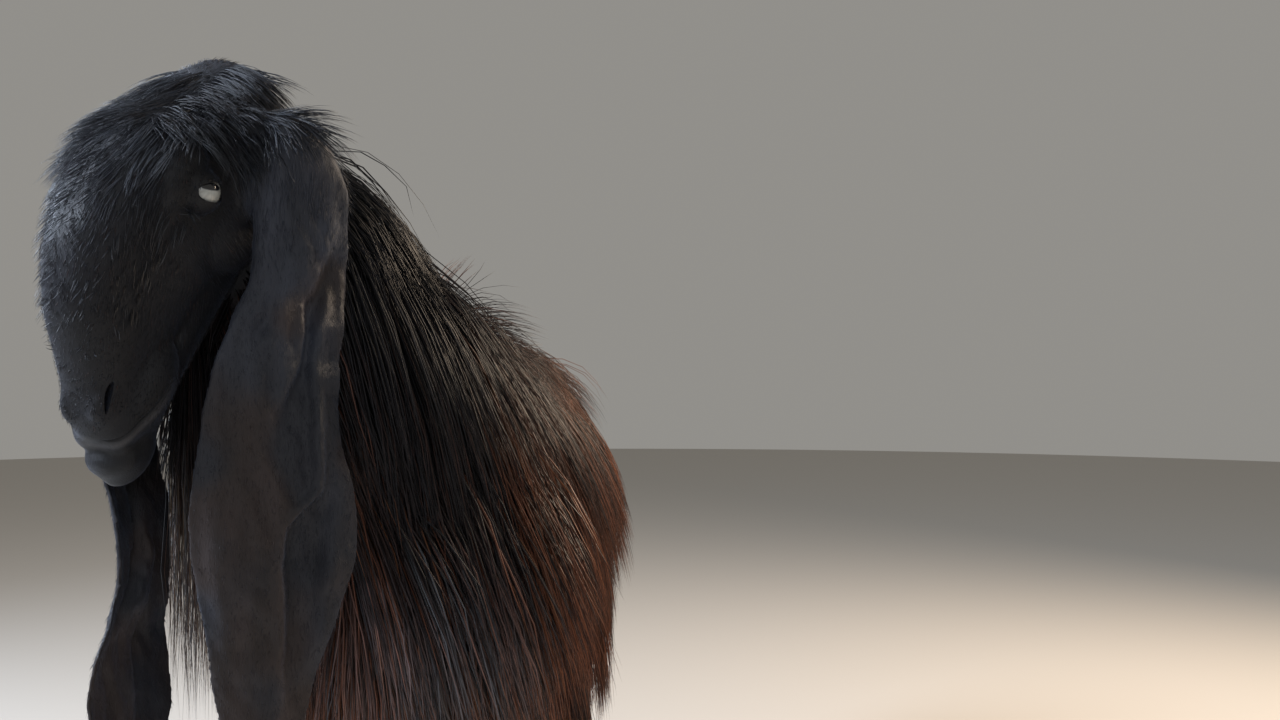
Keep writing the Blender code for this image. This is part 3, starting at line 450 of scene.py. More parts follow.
def limb(name, rows, sides, steps, pinch=0.0):
    """A loft along a middle line, with a half width along X and a radius each way across it."""
    table = through(rows, steps)
    middles = [Vector(row[:3]) for row in table]
    rings = []
    for i, row in enumerate(table):
        ahead = middles[min(i + 1, steps - 1)] - middles[max(i - 1, 0)]
        ahead.normalize()
        side = (Vector((1, 0, 0)) - ahead * ahead.x).normalized()
        across = side.cross(ahead)
        ring = []
        for c, s in circle(sides):
            reach = row[4] if c > 0 else row[5]
            width = row[3] * (1 - pinch * max(c, 0.0) ** 2)
            ring.append(middles[i] + side * width * s + across * reach * c)
        rings.append(ring)
    return lofted(name, rings)


def head_matrix():
    """From head centimetres (along the nose, left, towards the brow) to the model's frame."""
    ahead = Vector((-math.sin(HEAD_TURN), -math.cos(HEAD_TURN), 0))
    left = Vector((math.cos(HEAD_TURN), -math.sin(HEAD_TURN), 0))
    nose = ahead * math.cos(HEAD_DROP) - Vector((0, 0, 1)) * math.sin(HEAD_DROP)
    brow = ahead * math.sin(HEAD_DROP) + Vector((0, 0, 1)) * math.cos(HEAD_DROP)
    axes = Matrix((nose, left, brow)).transposed().to_4x4()
    return Matrix.Translation(POLL) @ Matrix.Rotation(HEAD_TILT, 4, ahead) @ axes @ Matrix.Scale(CM, 4)


HEAD = head_matrix()
NOSE = (HEAD.to_3x3() @ Vector((1, 0, 0))).normalized()
BROW = (HEAD.to_3x3() @ Vector((0, 0, 1))).normalized()
LEFT = (HEAD.to_3x3() @ Vector((0, 1, 0))).normalized()


def on_head(place, side=1):
    """A place in head centimetres as a point of the model, on its left (1) or right (-1) side."""
    return HEAD @ Vector((place[0], place[1] * side, place[2]))


def skull(sides=72, steps=110):
    """Skull, face and upper jaw as one loft."""
    rings = []
    for along, level, width, top, bottom in through(SKULL, steps):
        ring = []
        for c, s in circle(sides):
            reach = (top - level) if c > 0 else (level - bottom)
            across = math.copysign(abs(s) ** (0.86 if c > 0 else 0.78), s) * width
            ring.append(on_head((along, across, level + c * reach)))
        rings.append(ring)
    return lofted("skull", rings)


def jaw(sides=48, steps=60):
    """The lower jaw with its lip."""
    rings = []
    for along, level, width, height in through(JAW, steps):
        rings.append([on_head((along, width * s, level + height * c)) for c, s in circle(sides)])
    return lofted("jaw", rings)


def ball(name, place, radii, side=1, fine=4):
    """An ellipsoid on the head, in head centimetres."""
    shape = bmesh.new()
    bmesh.ops.create_icosphere(shape, subdivisions=fine, radius=1.0)
    for vertex in shape.verts:
        along, left, brow = vertex.co.x * radii[0], vertex.co.y * radii[1], vertex.co.z * radii[2]
        vertex.co = on_head((place[0] + along, place[1] + left, place[2] + brow), side)
    return placed(name, shape)


def remove(items):
    """Takes objects out of the file."""
    for item in items:
        bpy.data.objects.remove(item)


def apply_modifiers(item):
    """Makes an object's mesh what its modifiers give, and drops them."""
    graph = bpy.context.evaluated_depsgraph_get()
    mesh = bpy.data.meshes.new_from_object(item.evaluated_get(graph))
    item.modifiers.clear()
    item.data = mesh


def fused(name, forms, voxel, rounds):
    """One smooth closed mesh over all the forms."""
    bpy.context.view_layer.update()
    shape = bmesh.new()
    for form in forms:
        shape.from_mesh(form.data)
    made = of_bmesh(name, shape)
    remove(forms)
    remesh = made.modifiers.new("Remesh", "REMESH")
    remesh.mode = "VOXEL"
    remesh.voxel_size = voxel
    blur = made.modifiers.new("Smooth", "SMOOTH")
    blur.factor = 0.5
    blur.iterations = rounds
    apply_modifiers(made)
    return made


def with_forms(item, others, operation):
    """Joins the others to an item or cuts them out of it, and takes the others away."""
    group = bpy.data.collections.new("forms")
    for other in others:
        bpy.context.collection.objects.unlink(other)
        group.objects.link(other)
    bpy.context.scene.collection.children.link(group)
    change = item.modifiers.new("Boolean", "BOOLEAN")
    change.operation = operation
    change.solver = "MANIFOLD"
    change.operand_type = "COLLECTION"
    change.collection = group
    bpy.context.view_layer.update()
    apply_modifiers(item)
    remove(others)
    bpy.data.collections.remove(group)
    return item


def knob(name, place, radii):
    """A small ball or ellipsoid."""
    shape = bmesh.new()
    bmesh.ops.create_icosphere(shape, subdivisions=3, radius=1.0)
    bmesh.ops.scale(shape, verts=shape.verts, vec=Vector(radii))
    bmesh.ops.translate(shape, verts=shape.verts, vec=Vector(place))
    return placed(name, shape)


def body_forms():
    """Torso, neck, tail and legs with their dewclaws, before they are fused."""
    forms = [limb("torso_form", TORSO, 64, 90, BACK_PINCH), limb("neck_form", NECK, 48, 60)]
    forms.append(limb("tail_form", TAIL, 24, 40))
    for rows, foot in ((FORELEG, FOREFOOT), (HINDLEG, HINDFOOT)):
        for side in (1, -1):
            forms.append(limb("leg_form", [(side * row[0], *row[1:]) for row in rows], 32, 90))
            for out in (1, -1):
                place = (foot[0] * side + out * DEWCLAW[0], foot[1] + DEWCLAW[1], DEWCLAW[2])
                forms.append(knob("dewclaw", place, (DEWCLAW[3],) * 3))
    return forms


def head_forms():
    """What is fused into the head: skull, jaw, brows, cheeks, lids, nostril wings, lips and temples."""
    forms = [skull(), jaw()]
    for side in (1, -1):
        forms += [ball(*row, side) for row in SIDE_BALLS]
        forms.append(ball("lid", EYE_PLACE, (EYE_RADIUS + LID,) * 3, side))
    forms += [ball(*row) for row in MIDDLE_BALLS]
    return forms + [knob("temple", place, TEMPLE_SIZE) for place in TEMPLES]


def almond(side, sides=64):
    """The opening between the lids, as a prism out of the eye."""
    half, above, below = EYE_OPENING
    rings = []
    for out in (0.3, 2.6):
        ring = []
        for c, s in circle(sides):
            long = half * math.copysign(abs(c) ** 0.8, c)
            tall = (below if s > 0 else above) * math.copysign(abs(s) ** 0.8, s)
            along = long * math.cos(EYE_SLANT) + tall * math.sin(EYE_SLANT)
            brow = long * math.sin(EYE_SLANT) - tall * math.cos(EYE_SLANT)
            place = (EYE_PLACE[0] + along, EYE_PLACE[1] + out, EYE_PLACE[2] + brow - 0.12 * out)
            ring.append(on_head(place, side))
        rings.append(ring)
    return lofted("almond", rings)


def nostril(side):
    """A comma-shaped hollow from the outer top to the inner foot of the nostril."""
    top, foot = Vector(NOSTRIL_TOP), Vector(NOSTRIL_FOOT)
    long = (foot - top).normalized()
    inward = Vector((-0.25, -0.75, -0.35))
    inward = (inward - long * inward.dot(long)).normalized()
    across = long.cross(inward)
    shape = bmesh.new()
    bmesh.ops.create_icosphere(shape, subdivisions=4, radius=1.0)
    for vertex in shape.verts:
        u, v, w = vertex.co
        place = (top + foot) / 2 + long * u * NOSTRIL_SIZE[0] + inward * w * NOSTRIL_SIZE[2]
        place += across * (v * NOSTRIL_SIZE[1] * (1.0 - 0.45 * u) + 0.22 * u * u)
        vertex.co = on_head(place, side)
    return placed("nostril", shape)


def mouth_line(steps=60):
    """The groove between the lips, from one corner round the front to the other."""
    corner, front = Vector(MOUTH_CORNER), Vector(MOUTH_FRONT)
    rings = []
    for i in range(steps + 1):
        turn = math.pi * (i / steps - 0.5)
        along = corner.x + (front.x - corner.x) * math.cos(turn)
        brow = corner.z + (front.z - corner.z) * math.cos(turn) ** 1.3
        fade = 0.35 + 0.65 * min(1.0, 2.2 * math.cos(turn))
        out = Vector((math.cos(turn), math.sin(turn) * 0.8, 0)).normalized()
        middle = Vector((along, corner.y * math.sin(turn), brow))
        ring = [middle + out * 0.6 + Vector((0, 0, 0.16)), middle + out * 0.6 - Vector((0, 0, 0.16))]
        ring.append(middle - out * MOUTH_DEPTH * fade)
        rings.append([on_head(point) for point in ring])
    return lofted("mouth_line", rings)


def smoothed(item, weights, rounds):
    """Smooths a mesh as much as its weights say."""
    group = item.vertex_groups.new(name="soft")
    for i in np.nonzero(weights > 0.01)[0]:
        group.add([int(i)], float(weights[i]), "REPLACE")
    blur = item.modifiers.new("Smooth", "SMOOTH")
    blur.factor = 0.5
    blur.iterations = rounds
    blur.vertex_group = "soft"
    apply_modifiers(item)
    item.vertex_groups.clear()


def vertices_of(item):
    """The points of a mesh as rows."""
    points = np.zeros(len(item.data.vertices) * 3)
    item.data.vertices.foreach_get("co", points)
    return points.reshape(-1, 3)


def corners_of(item):
    """The three points of each triangle of a mesh, as rows."""
    item.data.calc_loop_triangles()
    corners = np.zeros(len(item.data.loop_triangles) * 3, np.int32)
    item.data.loop_triangles.foreach_get("vertices", corners)
    return corners.reshape(-1, 3)


def tree_of(item):
    """A search tree of an object's triangles."""
    return BVHTree.FromPolygons(vertices_of(item).tolist(), corners_of(item).tolist())


def head():
    """The head and its ears as one form, with lids, sockets, nostrils and mouth line."""
    made = fused("head", head_forms() + [ear(word) for word in EARS], HEAD_VOXEL, HEAD_ROUNDS)
    points = vertices_of(made)
    weights = np.zeros(len(points))
    for place, reach in SOFT_PLACES:
        for side in (1, -1):
            away = np.linalg.norm(points - np.array(on_head(place, side)), axis=1) / (reach * CM)
            weights = np.maximum(weights, 1 - ramp(away, 0.55, 1.0))
    smoothed(made, weights, SOFT_ROUNDS)
    hollows = [mouth_line()]
    for side in (1, -1):
        hollows.append(ball("socket", EYE_PLACE, (EYE_RADIUS + EYE_CLEAR,) * 3, side))
        hollows += [almond(side), nostril(side)]
    return with_forms(made, hollows, "DIFFERENCE")


def one_skin(body, face):
    """Joins body and head to one skin and smooths the line where they meet."""
    trees = [tree_of(body), tree_of(face)]
    skin = with_forms(body, [face], "UNION")
    away = []
    for vertex in skin.data.vertices:
        near = vertex.co.y < HEAD_BACK
        away.append(max(tree.find_nearest(vertex.co)[3] for tree in trees) if near else 1.0)
    smoothed(skin, 1 - ramp(np.array(away), *JOIN_REACH), JOIN_ROUNDS)
    return skin


def relief(word, level, u, half):
    """How far an ear's sheet stands out at a level and a place across its half width."""
    made = -EAR_CURL * u * u
    for rows in EAR_CREASES[word]:
        table = np.array(rows[::-1])
        if table[0, 0] < level < table[-1, 0]:
            place, step, crest = (np.interp(level, table[:, 0], table[:, k]) for k in (1, 2, 3))
            away = (u - place) * half / CREASE_WIDTH
            ridge = step * (0.5 + 0.5 * math.tanh(away)) + 1.5 * crest * math.exp(-away * away)
            made += CREASE_DEPTH * ridge
    near = ((level - DIMPLE[0]) / DIMPLE_SIZE[0]) ** 2 + ((u - DIMPLE[1]) / DIMPLE_SIZE[1]) ** 2
    made -= DIMPLE[2] * math.exp(-near)
    side = EARS[word][0]
    made += 0.0030 * noise.noise(Vector((u * 2.2, level * 26, side * 3.0)))
    made += 0.0022 * noise.noise(Vector((u * 5.0 + level * 30, level * 45, side * 5.0)))
    return made + 0.0008 * noise.noise(Vector((u * 16.0, level * 130, side * 7.0)))


def ear(word, cells=64, steps=190):
    """A hanging ear: a creased sheet as thick as an ear, thinner at its rim, with a stout root."""
    side, foot, width, rows = EARS[word]
    outward = width.cross(Vector((0, 0, 1))) * side
    rings = []
    for i, row in enumerate(through(rows, steps)):
        down = i / (steps - 1)
        folded = min(1.0, max(0.0, 4.0 * down - 0.5)) * (1.0 - 0.5 * down**6)
        front, back = [], []
        across = np.linspace(-1, 1, cells + 1)
        heights = np.array([relief(word, row[0], u, row[3]) for u in across]) * folded
        slopes = np.gradient(heights, across * row[3])
        for u, height, slope in zip(across, heights, slopes):
            nick = EAR_NICK * noise.noise(Vector((row[0] * 34, u * 0.5, side * 9.0)))
            place = foot + Vector((0, 0, row[0])) + width * (row[1] + u * (row[3] + nick)) + outward * row[2]
            place += outward * (height - 0.008 * u * u * (1 - folded))
            thick = row[4] * (EAR_RIM + (1 - EAR_RIM) * (1 - u * u)) * (0.72 + 0.28 * (1 - abs(u) ** 9))
            thick *= min(2.5, math.sqrt(1 + slope * slope))
            if row[4] > EAR_ROOT_THICK:
                thick = row[4] * (0.12 + 0.88 * math.sqrt(max(1 - u * u, 0.0)))
            front.append(place + outward * thick / 2)
            back.append(place - outward * thick / 2)
        rings.append(front + back[::-1])
    return lofted("ear_" + word, rings)


def claw(foot, side, out, sides=48):
    """One claw of a hoof: flat below, sloping at the toe and narrower on top, with growth rings."""
    rings = []
    for i in range(CLAW_STEPS + 1):
        f = i / CLAW_STEPS
        lean = 0.010 * f**1.2
        size = 1.0 - 0.16 * f + 0.006 * math.sin(26 * f) - (0.03 if i == 0 else 0.0)
        ring = []
        for forward, across in circle(sides):
            taper = 1.0 - 0.25 * max(forward, 0.0) ** 2
            flat = 0.55 if across * out < 0 else 1.0
            x = foot[0] * side + out * CLAW_OUT + across * SOLE[1] * taper * flat * size
            ring.append(Vector((x, foot[1] - forward * SOLE[0] * size + lean, f * HOOF_HEIGHT)))
        rings.append(ring)
    return lofted("claw", rings)


def ear_guide(word):
    """A search tree of one ear's own sheet."""
    sheet = ear(word)
    tree = tree_of(sheet)
    remove([sheet])
    return tree


class Surface:
    """A skin to root hair on: a search tree, places spread evenly over it, and an unwrap of its shape."""

    def __init__(self, item):
        self.points, self.corners = vertices_of(item), corners_of(item)
        self.middles = self.points[self.corners].mean(axis=1)
        a, b, c = (self.points[self.corners[:, k]] for k in range(3))
        normal = np.cross(b - a, c - a)
        self.areas = np.linalg.norm(normal, axis=1) / 2
        self.normals = normal / np.maximum(self.areas * 2, 1e-14)[:, None]
        self.tree = tree_of(item)
        self.unwrap(item)

    def unwrap(self, item):
        """Unwraps a coarser copy of the shape."""
        copy = linked(item.name, item.data.copy())
        thin = copy.modifiers.new("Decimate", "DECIMATE")
        thin.ratio = min(1.0, UNWRAP_FACES / len(self.corners))
        apply_modifiers(copy)
        bpy.context.view_layer.objects.active = copy
        copy.select_set(True)
        bpy.ops.object.mode_set(mode="EDIT")
        bpy.ops.mesh.select_all(action="SELECT")
        bpy.ops.uv.smart_project(angle_limit=math.radians(66), island_margin=0.004)
        bpy.ops.object.mode_set(mode="OBJECT")
        self.coarse = tree_of(copy)
        mesh = copy.data
        uv = mesh.uv_layers.active.data
        self.flat = [[Vector(uv[i].uv) for i in tri.loops] for tri in mesh.loop_triangles]
        self.solid = [[mesh.vertices[i].co.copy() for i in tri.vertices] for tri in mesh.loop_triangles]
        remove([copy])

    def spread(self, count, chance, density):
        """Places and normals of this many roots. Density is a value for each triangle."""
        weights = self.areas * density
        picked = chance.choice(len(weights), size=count, p=weights / weights.sum())
        u, v = chance.random(count), chance.random(count)
        over = u + v > 1
        u[over], v[over] = 1 - u[over], 1 - v[over]
        a, b, c = (self.points[self.corners[picked, k]] for k in range(3))
        return a + (b - a) * u[:, None] + (c - a) * v[:, None], self.normals[picked]

    def flat_place(self, point):
        """Where a place lies on the unwrap."""
        near, _, face, _ = self.coarse.find_nearest(Vector(point))
        (a, b, c), (p, q, r) = self.solid[face], self.flat[face]
        ab, ac, ap = b - a, c - a, near - a
        d00, d01, d11, d20, d21 = ab.dot(ab), ab.dot(ac), ac.dot(ac), ap.dot(ab), ap.dot(ac)
        room = max(d00 * d11 - d01 * d01, 1e-18)
        v = (d11 * d20 - d01 * d21) / room
        w = (d00 * d21 - d01 * d20) / room
        return p * (1 - v - w) + q * v + r * w


def combed(tree, root, normal, lean, length, lift, fall, rise, steps):
    """A strand's path: it leans one way, is drawn down by its weight and lies off the body by a lift
    that grows along it. Rise lifts its first part off the skin."""
    up = Vector(normal)
    lean = Vector(lean)
    ahead = (lean - up * lean.dot(up)).normalized()
    ahead = (ahead + up * rise).normalized()
    place = Vector(root) - up * ROOT_DEPTH
    path, ups = [place], [up]
    step = length / (steps - 1)
    for i in range(1, steps):
        f = i / (steps - 1)
        place = place + ahead * step
        near, out = tree.find_nearest(place)[:2]
        clear = lift * f**0.7
        if (place - near).dot(out) < clear:
            place = near + out * clear
            up = out
            ahead = (place - path[-1]).normalized()
        else:
            up = (up + out * 0.3).normalized()
        ahead = (ahead + Vector((0, 0, -fall))).normalized()
        path.append(place)
        ups.append(up)
    return path, ups


def clumped(paths, ups, chance, every, strength, wave):
    """Draws strands towards the nearest leader's path, more so at their tips, with a soft wave."""
    count, steps = paths.shape[:2]
    leaders = chance.choice(count, size=max(4, count // every), replace=False)
    near = KDTree(len(leaders))
    for i, leader in enumerate(leaders):
        near.insert(paths[leader, 0], i)
    near.balance()
    mine = np.array([leaders[near.find(paths[i, 0])[1]] for i in range(count)])
    f = np.linspace(0, 1, steps)[None, :, None]
    pull = (paths[mine] - paths[mine][:, :1]) - (paths - paths[:, :1])
    apart = paths[mine][:, :1] - paths[:, :1]
    amount = strength * chance.uniform(0.6, 1.2, (count, 1, 1))
    moved = paths + amount * (f**1.3) * (pull + apart * 0.75)
    ahead = paths[:, -1] - paths[:, 0]
    side = np.cross(ahead, ups[:, 0])
    side /= np.maximum(np.linalg.norm(side, axis=1), 1e-9)[:, None]
    phase = chance.uniform(0, 6.28, count)[mine][:, None] + chance.normal(0, 0.5, count)[:, None]
    length = np.linalg.norm(ahead, axis=1)[:, None]
    swing = np.sin(phase + f[..., 0] * length * 75) * f[..., 0]
    return moved + side[:, None, :] * (wave * swing)[..., None]


def tuft_mesh(name, paths, ups, widths, colours, tips, flats):
    """Closed, tapered, three-sided tufts along paths, with their colours and their patches."""
    count, steps = paths.shape[:2]
    f = np.linspace(0, 1, steps)
    ahead = np.gradient(paths, axis=1)
    ahead /= np.maximum(np.linalg.norm(ahead, axis=2), 1e-12)[..., None]
    up = ups - ahead * (ups * ahead).sum(axis=2)[..., None]
    up /= np.maximum(np.linalg.norm(up, axis=2), 1e-12)[..., None]
    side = np.cross(ahead, up)
    profile = (0.45 + 0.55 * np.minimum(1.0, f * 4)) * (1 - f**2.4)
    half = widths[:, None] / 2 * profile[None, :]
    rings = np.stack([
        paths + side * half[..., None],
        paths + up * (half * 2 * TUFT_FLATNESS)[..., None],
        paths - side * half[..., None],
    ], axis=2)[:, :-1]
    verts = np.concatenate([rings.reshape(count, -1, 3), paths[:, -1:]], axis=1)
    per = verts.shape[1]
    faces = [(2, 1, 0)]
    for i in range(steps - 2):
        for j in range(3):
            k = (j + 1) % 3
            a, b, c, d = 3 * i + j, 3 * i + k, 3 * i + 3 + k, 3 * i + 3 + j
            faces += [(a, b, c), (a, c, d)]
    last = 3 * (steps - 2)
    faces += [(last + j, last + (j + 1) % 3, per - 1) for j in range(3)]
    faces = np.array(faces, np.int32)
    index = (faces[None] + np.arange(count)[:, None, None] * per).reshape(-1)
    mesh = bpy.data.meshes.new(name)
    mesh.vertices.add(count * per)
    mesh.vertices.foreach_set("co", verts.reshape(-1).astype(np.float32))
    mesh.loops.add(len(index))
    mesh.loops.foreach_set("vertex_index", index)
    mesh.polygons.add(len(index) // 3)
    mesh.polygons.foreach_set("loop_start", np.arange(0, len(index), 3, dtype=np.int32))
    mesh.polygons.foreach_set("use_smooth", np.ones(len(index) // 3, bool))
    along = np.concatenate([np.repeat(f[:-1], 3), [1.0]])
    shade = 0.65 + 0.85 * along
    tint = blend(colours[:, None, :], tips[:, None, :], ramp(along, 0.40, 0.75)[None])
    tint = tint * shade[None, :, None]
    rgba = np.concatenate([tint, np.ones((count, per, 1))], axis=2)
    layer = mesh.color_attributes.new("Tint", "FLOAT_COLOR", "POINT")
    layer.data.foreach_set("color", rgba.reshape(-1).astype(np.float32))
    across = np.concatenate([np.tile([-PATCH_HALF, 0.0, PATCH_HALF], steps - 1), [0.0]])
    patch = flats[:, None, :] + np.stack([across, (along - 0.5) * PATCH_LONG], axis=1)[None]
    uv = mesh.uv_layers.new(name="OFBake")
    uv.data.foreach_set("uv", patch.reshape(-1, 2)[index].reshape(-1).astype(np.float32))
    mesh.update()
    return linked(name, mesh)


def crosses(path, tree):
    """Whether a path runs through a surface."""
    for start, end in zip(path, path[1:]):
        run = end - start
        if tree.ray_cast(start, run, run.length)[0] is not None:
            return True
    return False


def grow(surface, few, chance, name, density, groom, colour, avoid=None, tip_colour=None):
    """One kind of hair: spreads roots, combs them, clumps them and makes the pieces. It leaves out a
    strand that runs through the form to avoid, or whose tip reaches too far to a side."""
    count, (low, high), steps, clump = COATS[name]
    count = int(count * few)
    roots, normals = surface.spread(count, chance, density)
    paths, ups, kept = [], [], []
    for i in range(count):
        how = groom(roots[i], normals[i], chance)
        if how is None:
            continue
        path, up = combed(surface.tree, roots[i], normals[i], *how, steps)
        if (avoid is not None and crosses(path, avoid)) or not REACH[0] < path[-1].x < REACH[1]:
            continue
        paths.append(path)
        ups.append(up)
        kept.append(i)
    roots = roots[kept]
    paths = np.array([[tuple(p) for p in path] for path in paths])
    ups = np.array([[tuple(u) for u in up] for up in ups])
    if clump:
        paths = clumped(paths, ups, chance, *clump)
    wide = chance.uniform(low, high, len(roots))
    colours = colour(roots, chance)
    tips = tip_colour(roots, chance) if tip_colour else colours
    flats = np.array([tuple(surface.flat_place(root)) for root in roots])
    triangles = 6 * (steps - 2) + 4
    pieces = math.ceil(len(roots) * triangles / PIECE_LIMIT)
    order = chance.permutation(len(roots))
    made = []
    for k in range(pieces):
        part = order[k::pieces]
        rows = (table[part] for table in (paths, ups, wide, colours, tips, flats))
        made.append(tuft_mesh(f"{name}_{k + 1}", *rows))
    return made


def blend(a, b, f):
    """Between two colours or rows of colours."""
    f = np.asarray(f)[..., None]
    return np.asarray(a) * (1 - f) + np.asarray(b) * f


def ramp(value, low, high):
    """0 below low, 1 above high, and smooth between."""
    f = np.clip((np.asarray(value) - low) / (high - low), 0, 1)
    return f * f * (3 - 2 * f)


def patches(points, size, seed):
    """A soft, random value from 0 to 1 at each place."""
    return np.array([0.5 + 0.5 * noise.noise(Vector(p) * size + Vector((seed, 0, 0))) for p in points])


def bands(points, size, seed):
    """A soft, random value drawn out along the fall of the coat."""
    return patches(points * np.array((1.0, 1.0, 0.2)), size, seed)


def mixed(base, *layers):
    """A colour with others laid over it, each by its own amount."""
    for colour, amount in layers:
        base = blend(base, colour, amount)
    return base


def body_colour(points, chance=None):
    """Black along the back and neck, brown and auburn on the flanks, and a rusty painted backlight low at
    the sides.
    """
    x, y, z = points.T
    mottled = patches(points, 9.0, 1.0)
    streak = 0.6 * bands(points, 55.0, 2.0) + 0.4 * bands(points, 150.0, 3.0)
    flank = ramp(0.84 - z + 0.16 * (mottled - 0.5), 0.02, 0.17)
    # Painted backlight: a warm rusty glow low on the sides and towards the rear, as of sun shining through
    # the coat
    low = ramp(np.abs(x) * 4 - z * 1.5 + y * 0.4 + 0.3 * mottled, -0.10, 0.30) * ramp(z, 0.33, 0.46)
    # The chest: partly the hair's own grey to tan, partly painted sunlight and bluish sheen
    chest = ramp(-y, 0.36, 0.42) * ramp(0.68 - z, 0.0, 0.08)
    base = mixed(
        blend(BLACK, BROWN, flank),
        (AUBURN, ramp(streak + 0.25 * mottled, 0.53, 0.69) * flank * 0.8),
        # Painted rusty backlight low at the sides
        (RUST_AND_BACKLIGHT, low * 0.75),
        (BLACK, (1 - ramp(streak, 0.38, 0.52)) * 0.65),
        (BLACK, (1 - ramp(z, 0.28, 0.42)) * 0.7),
        # Partly the throat hair's own black, partly painted shadow of the head over the throat
        (BLACK, ramp(-y, 0.33, 0.40) * ramp(z, 0.60, 0.68) * 0.9),
        # Grey to tan chest, partly painted sunlight and bluish sheen
        (blend(SILVER_SHEEN, TAN, ramp(0.62 - z, 0.02, 0.12)), chest * 0.7),
    )
    if chance is not None:
        pick = chance.random(len(points))
        auburn = (pick > 0.82) & (pick < 0.94)
        base = mixed(
            base,
            (BLACK, (pick < 0.25) * 0.7),
            (AUBURN, auburn * 0.5 * flank),
            (RUST_AND_BACKLIGHT, (pick > 0.965) * 0.45 * flank),
        )
        base = base * chance.uniform(0.7, 1.35, (len(points), 1))
    return base


def in_head(points):
    """Places as head centimetres."""
    return (points - np.array(POLL)) @ np.array([NOSE, LEFT, BROW]).T / CM


def lip_band(local):
    """1 on the rim of the lower lip just under the mouth line, else 0."""
    ahead = np.clip((local[:, 0] - MOUTH_CORNER[0]) / (MOUTH_FRONT[0] - MOUTH_CORNER[0]), 0, 1) ** 1.3
    line = MOUTH_CORNER[2] + (MOUTH_FRONT[2] - MOUTH_CORNER[2]) * ahead
    return np.exp(-(((line - local[:, 2] - 0.45) / 0.28) ** 2)) * ramp(local[:, 0], 19.0, 22.0)


def head_colour(points, chance=None):
    """Black, with painted shade round the eyes and on the lower muzzle, a painted bluish sheen on the nose,
    and a grey rim on the lower lip.
    """
    local = in_head(points)
    base = np.tile(np.array(BLACK), (len(points), 1)) * 1.1
    # Painted bluish sheen on the top of the face and the nose
    base = blend(base, SLATE_AND_SHEEN, ramp(local[:, 2] + 0.05 * local[:, 0], 3.2, 6.0) * 0.8)
    away = np.linalg.norm((local - EYE_PLACE)[:, [0, 2]], axis=1)
    # Painted shade in the eye sockets, darkest next to the eye
    base = base * (0.45 + 0.55 * ramp(away, 1.6, 3.4))[:, None]
    # Painted shade on the lower muzzle and chin
    base = base * (1 - 0.35 * ramp(local[:, 0], 19, 22) * ramp(-local[:, 2], 2.5, 4.0))[:, None]
    base = blend(base, LIP, lip_band(local) * 0.8)
    if chance is not None:
        base = blend(base, BROWN, (chance.random(len(points)) > 0.9) * 0.4)
        base = base * chance.uniform(0.8, 1.4, (len(points), 1))
    return base


def brow_colour(points, chance):
    """The long hair of the forehead: black, with painted bluish highlight streaks and a painted highlight on
    the brow ridge over the eyes.
    """
    local = in_head(points)
    streak = patches(local * np.array((0.15, 1.0, 1.0)), 1.6, 6.0)
    # Painted bluish highlights: lighter, bluer streaks and single strands
    sheen_streaks = ramp(streak, 0.50, 0.70) * 0.22 + (chance.random(len(points)) > 0.93) * 0.25
    ridge = np.linalg.norm(local[:, [0, 2]] - (5.2, 3.4), axis=1)
    # Painted highlight on the brow ridge over the eyes
    brow_highlight = (1 - ramp(ridge, 0.8, 2.8)) * (np.abs(local[:, 1]) > 2.0) * 0.22
    base = mixed(head_colour(points), (SILVER_SHEEN, sheen_streaks), (SILVER_SHEEN, brow_highlight))
    return base * chance.uniform(0.75, 1.4, (len(points), 1))


def bib_tips(points, chance):
    """The pale lower ends of the hair of the throat, from grey to tan and brown: partly their own colour,
    partly painted sunlight and sheen.
    """
    base = blend(SILVER_SHEEN, TAN, chance.random(len(points)))
    return blend(base, BROWN, (chance.random(len(points)) < 0.3) * 0.8) * 1.2


def ear_colour(points, chance=None):
    """Slate black with a painted bluish sheen high on the ear, brownish low on the ear and in its folds, and
    painted highlight and shade in streaks.
    """
    mottled = patches(points, 22.0, 4.0)
    brown = ramp(mottled + 0.9 * (0.66 - points[:, 2]), 0.42, 0.72)
    # Painted bluish sheen high on the ear
    base = blend(SLATE_AND_SHEEN, EAR_SHEEN, ramp(points[:, 2], 0.66, 0.76) * 0.8)
    base = blend(base, EAR_BROWN, brown * 0.7)
    # Painted highlight and shade in streaks down the ear
    base = base * (0.55 + 0.9 * bands(points, 75.0, 8.0))[:, None]
    if chance is not None:
        base = base * chance.uniform(0.85, 1.35, (len(points), 1))
    return base


def skin_colour(points, face, ears):
    """The coat's same colours, painted light and shade included, on the skin below it."""
    base = body_colour(points) * 0.6
    near = np.nonzero(points[:, 1] < HEAD_NEAR)[0]
    front = points[near]
    away = np.array([face.tree.find_nearest(Vector(point))[3] for point in front])
    of_head = blend(head_colour(front), ear_colour(front), ear_share(front, ears))
    base[near] = blend(of_head, base[near], ramp(away, 0.001, 0.012))
    return base


def neck_middle(y):
    """How far to the side the neck's middle line lies at this place along the goat."""
    return np.interp(y, [row[1] for row in NECK[::-1]], [row[0] for row in NECK[::-1]])


def outside(points, picked, tree):
    """Which of the picked places lie outside a closed skin."""
    made = picked.copy()
    for i in np.nonzero(picked)[0]:
        near, out = tree.find_nearest(Vector(points[i]))[:2]
        made[i] = (Vector(points[i]) - near).dot(out) >= 0
    return made


def ear_share(points, ears):
    """1 on the ears, 0 on the head, and between at their roots."""
    away = np.array([min(tree.find_nearest(Vector(point))[3] for tree in ears) for point in points])
    return (1 - ramp(away, 0.002, 0.007)) * (1 - ramp(points[:, 2], 0.865, 0.90))


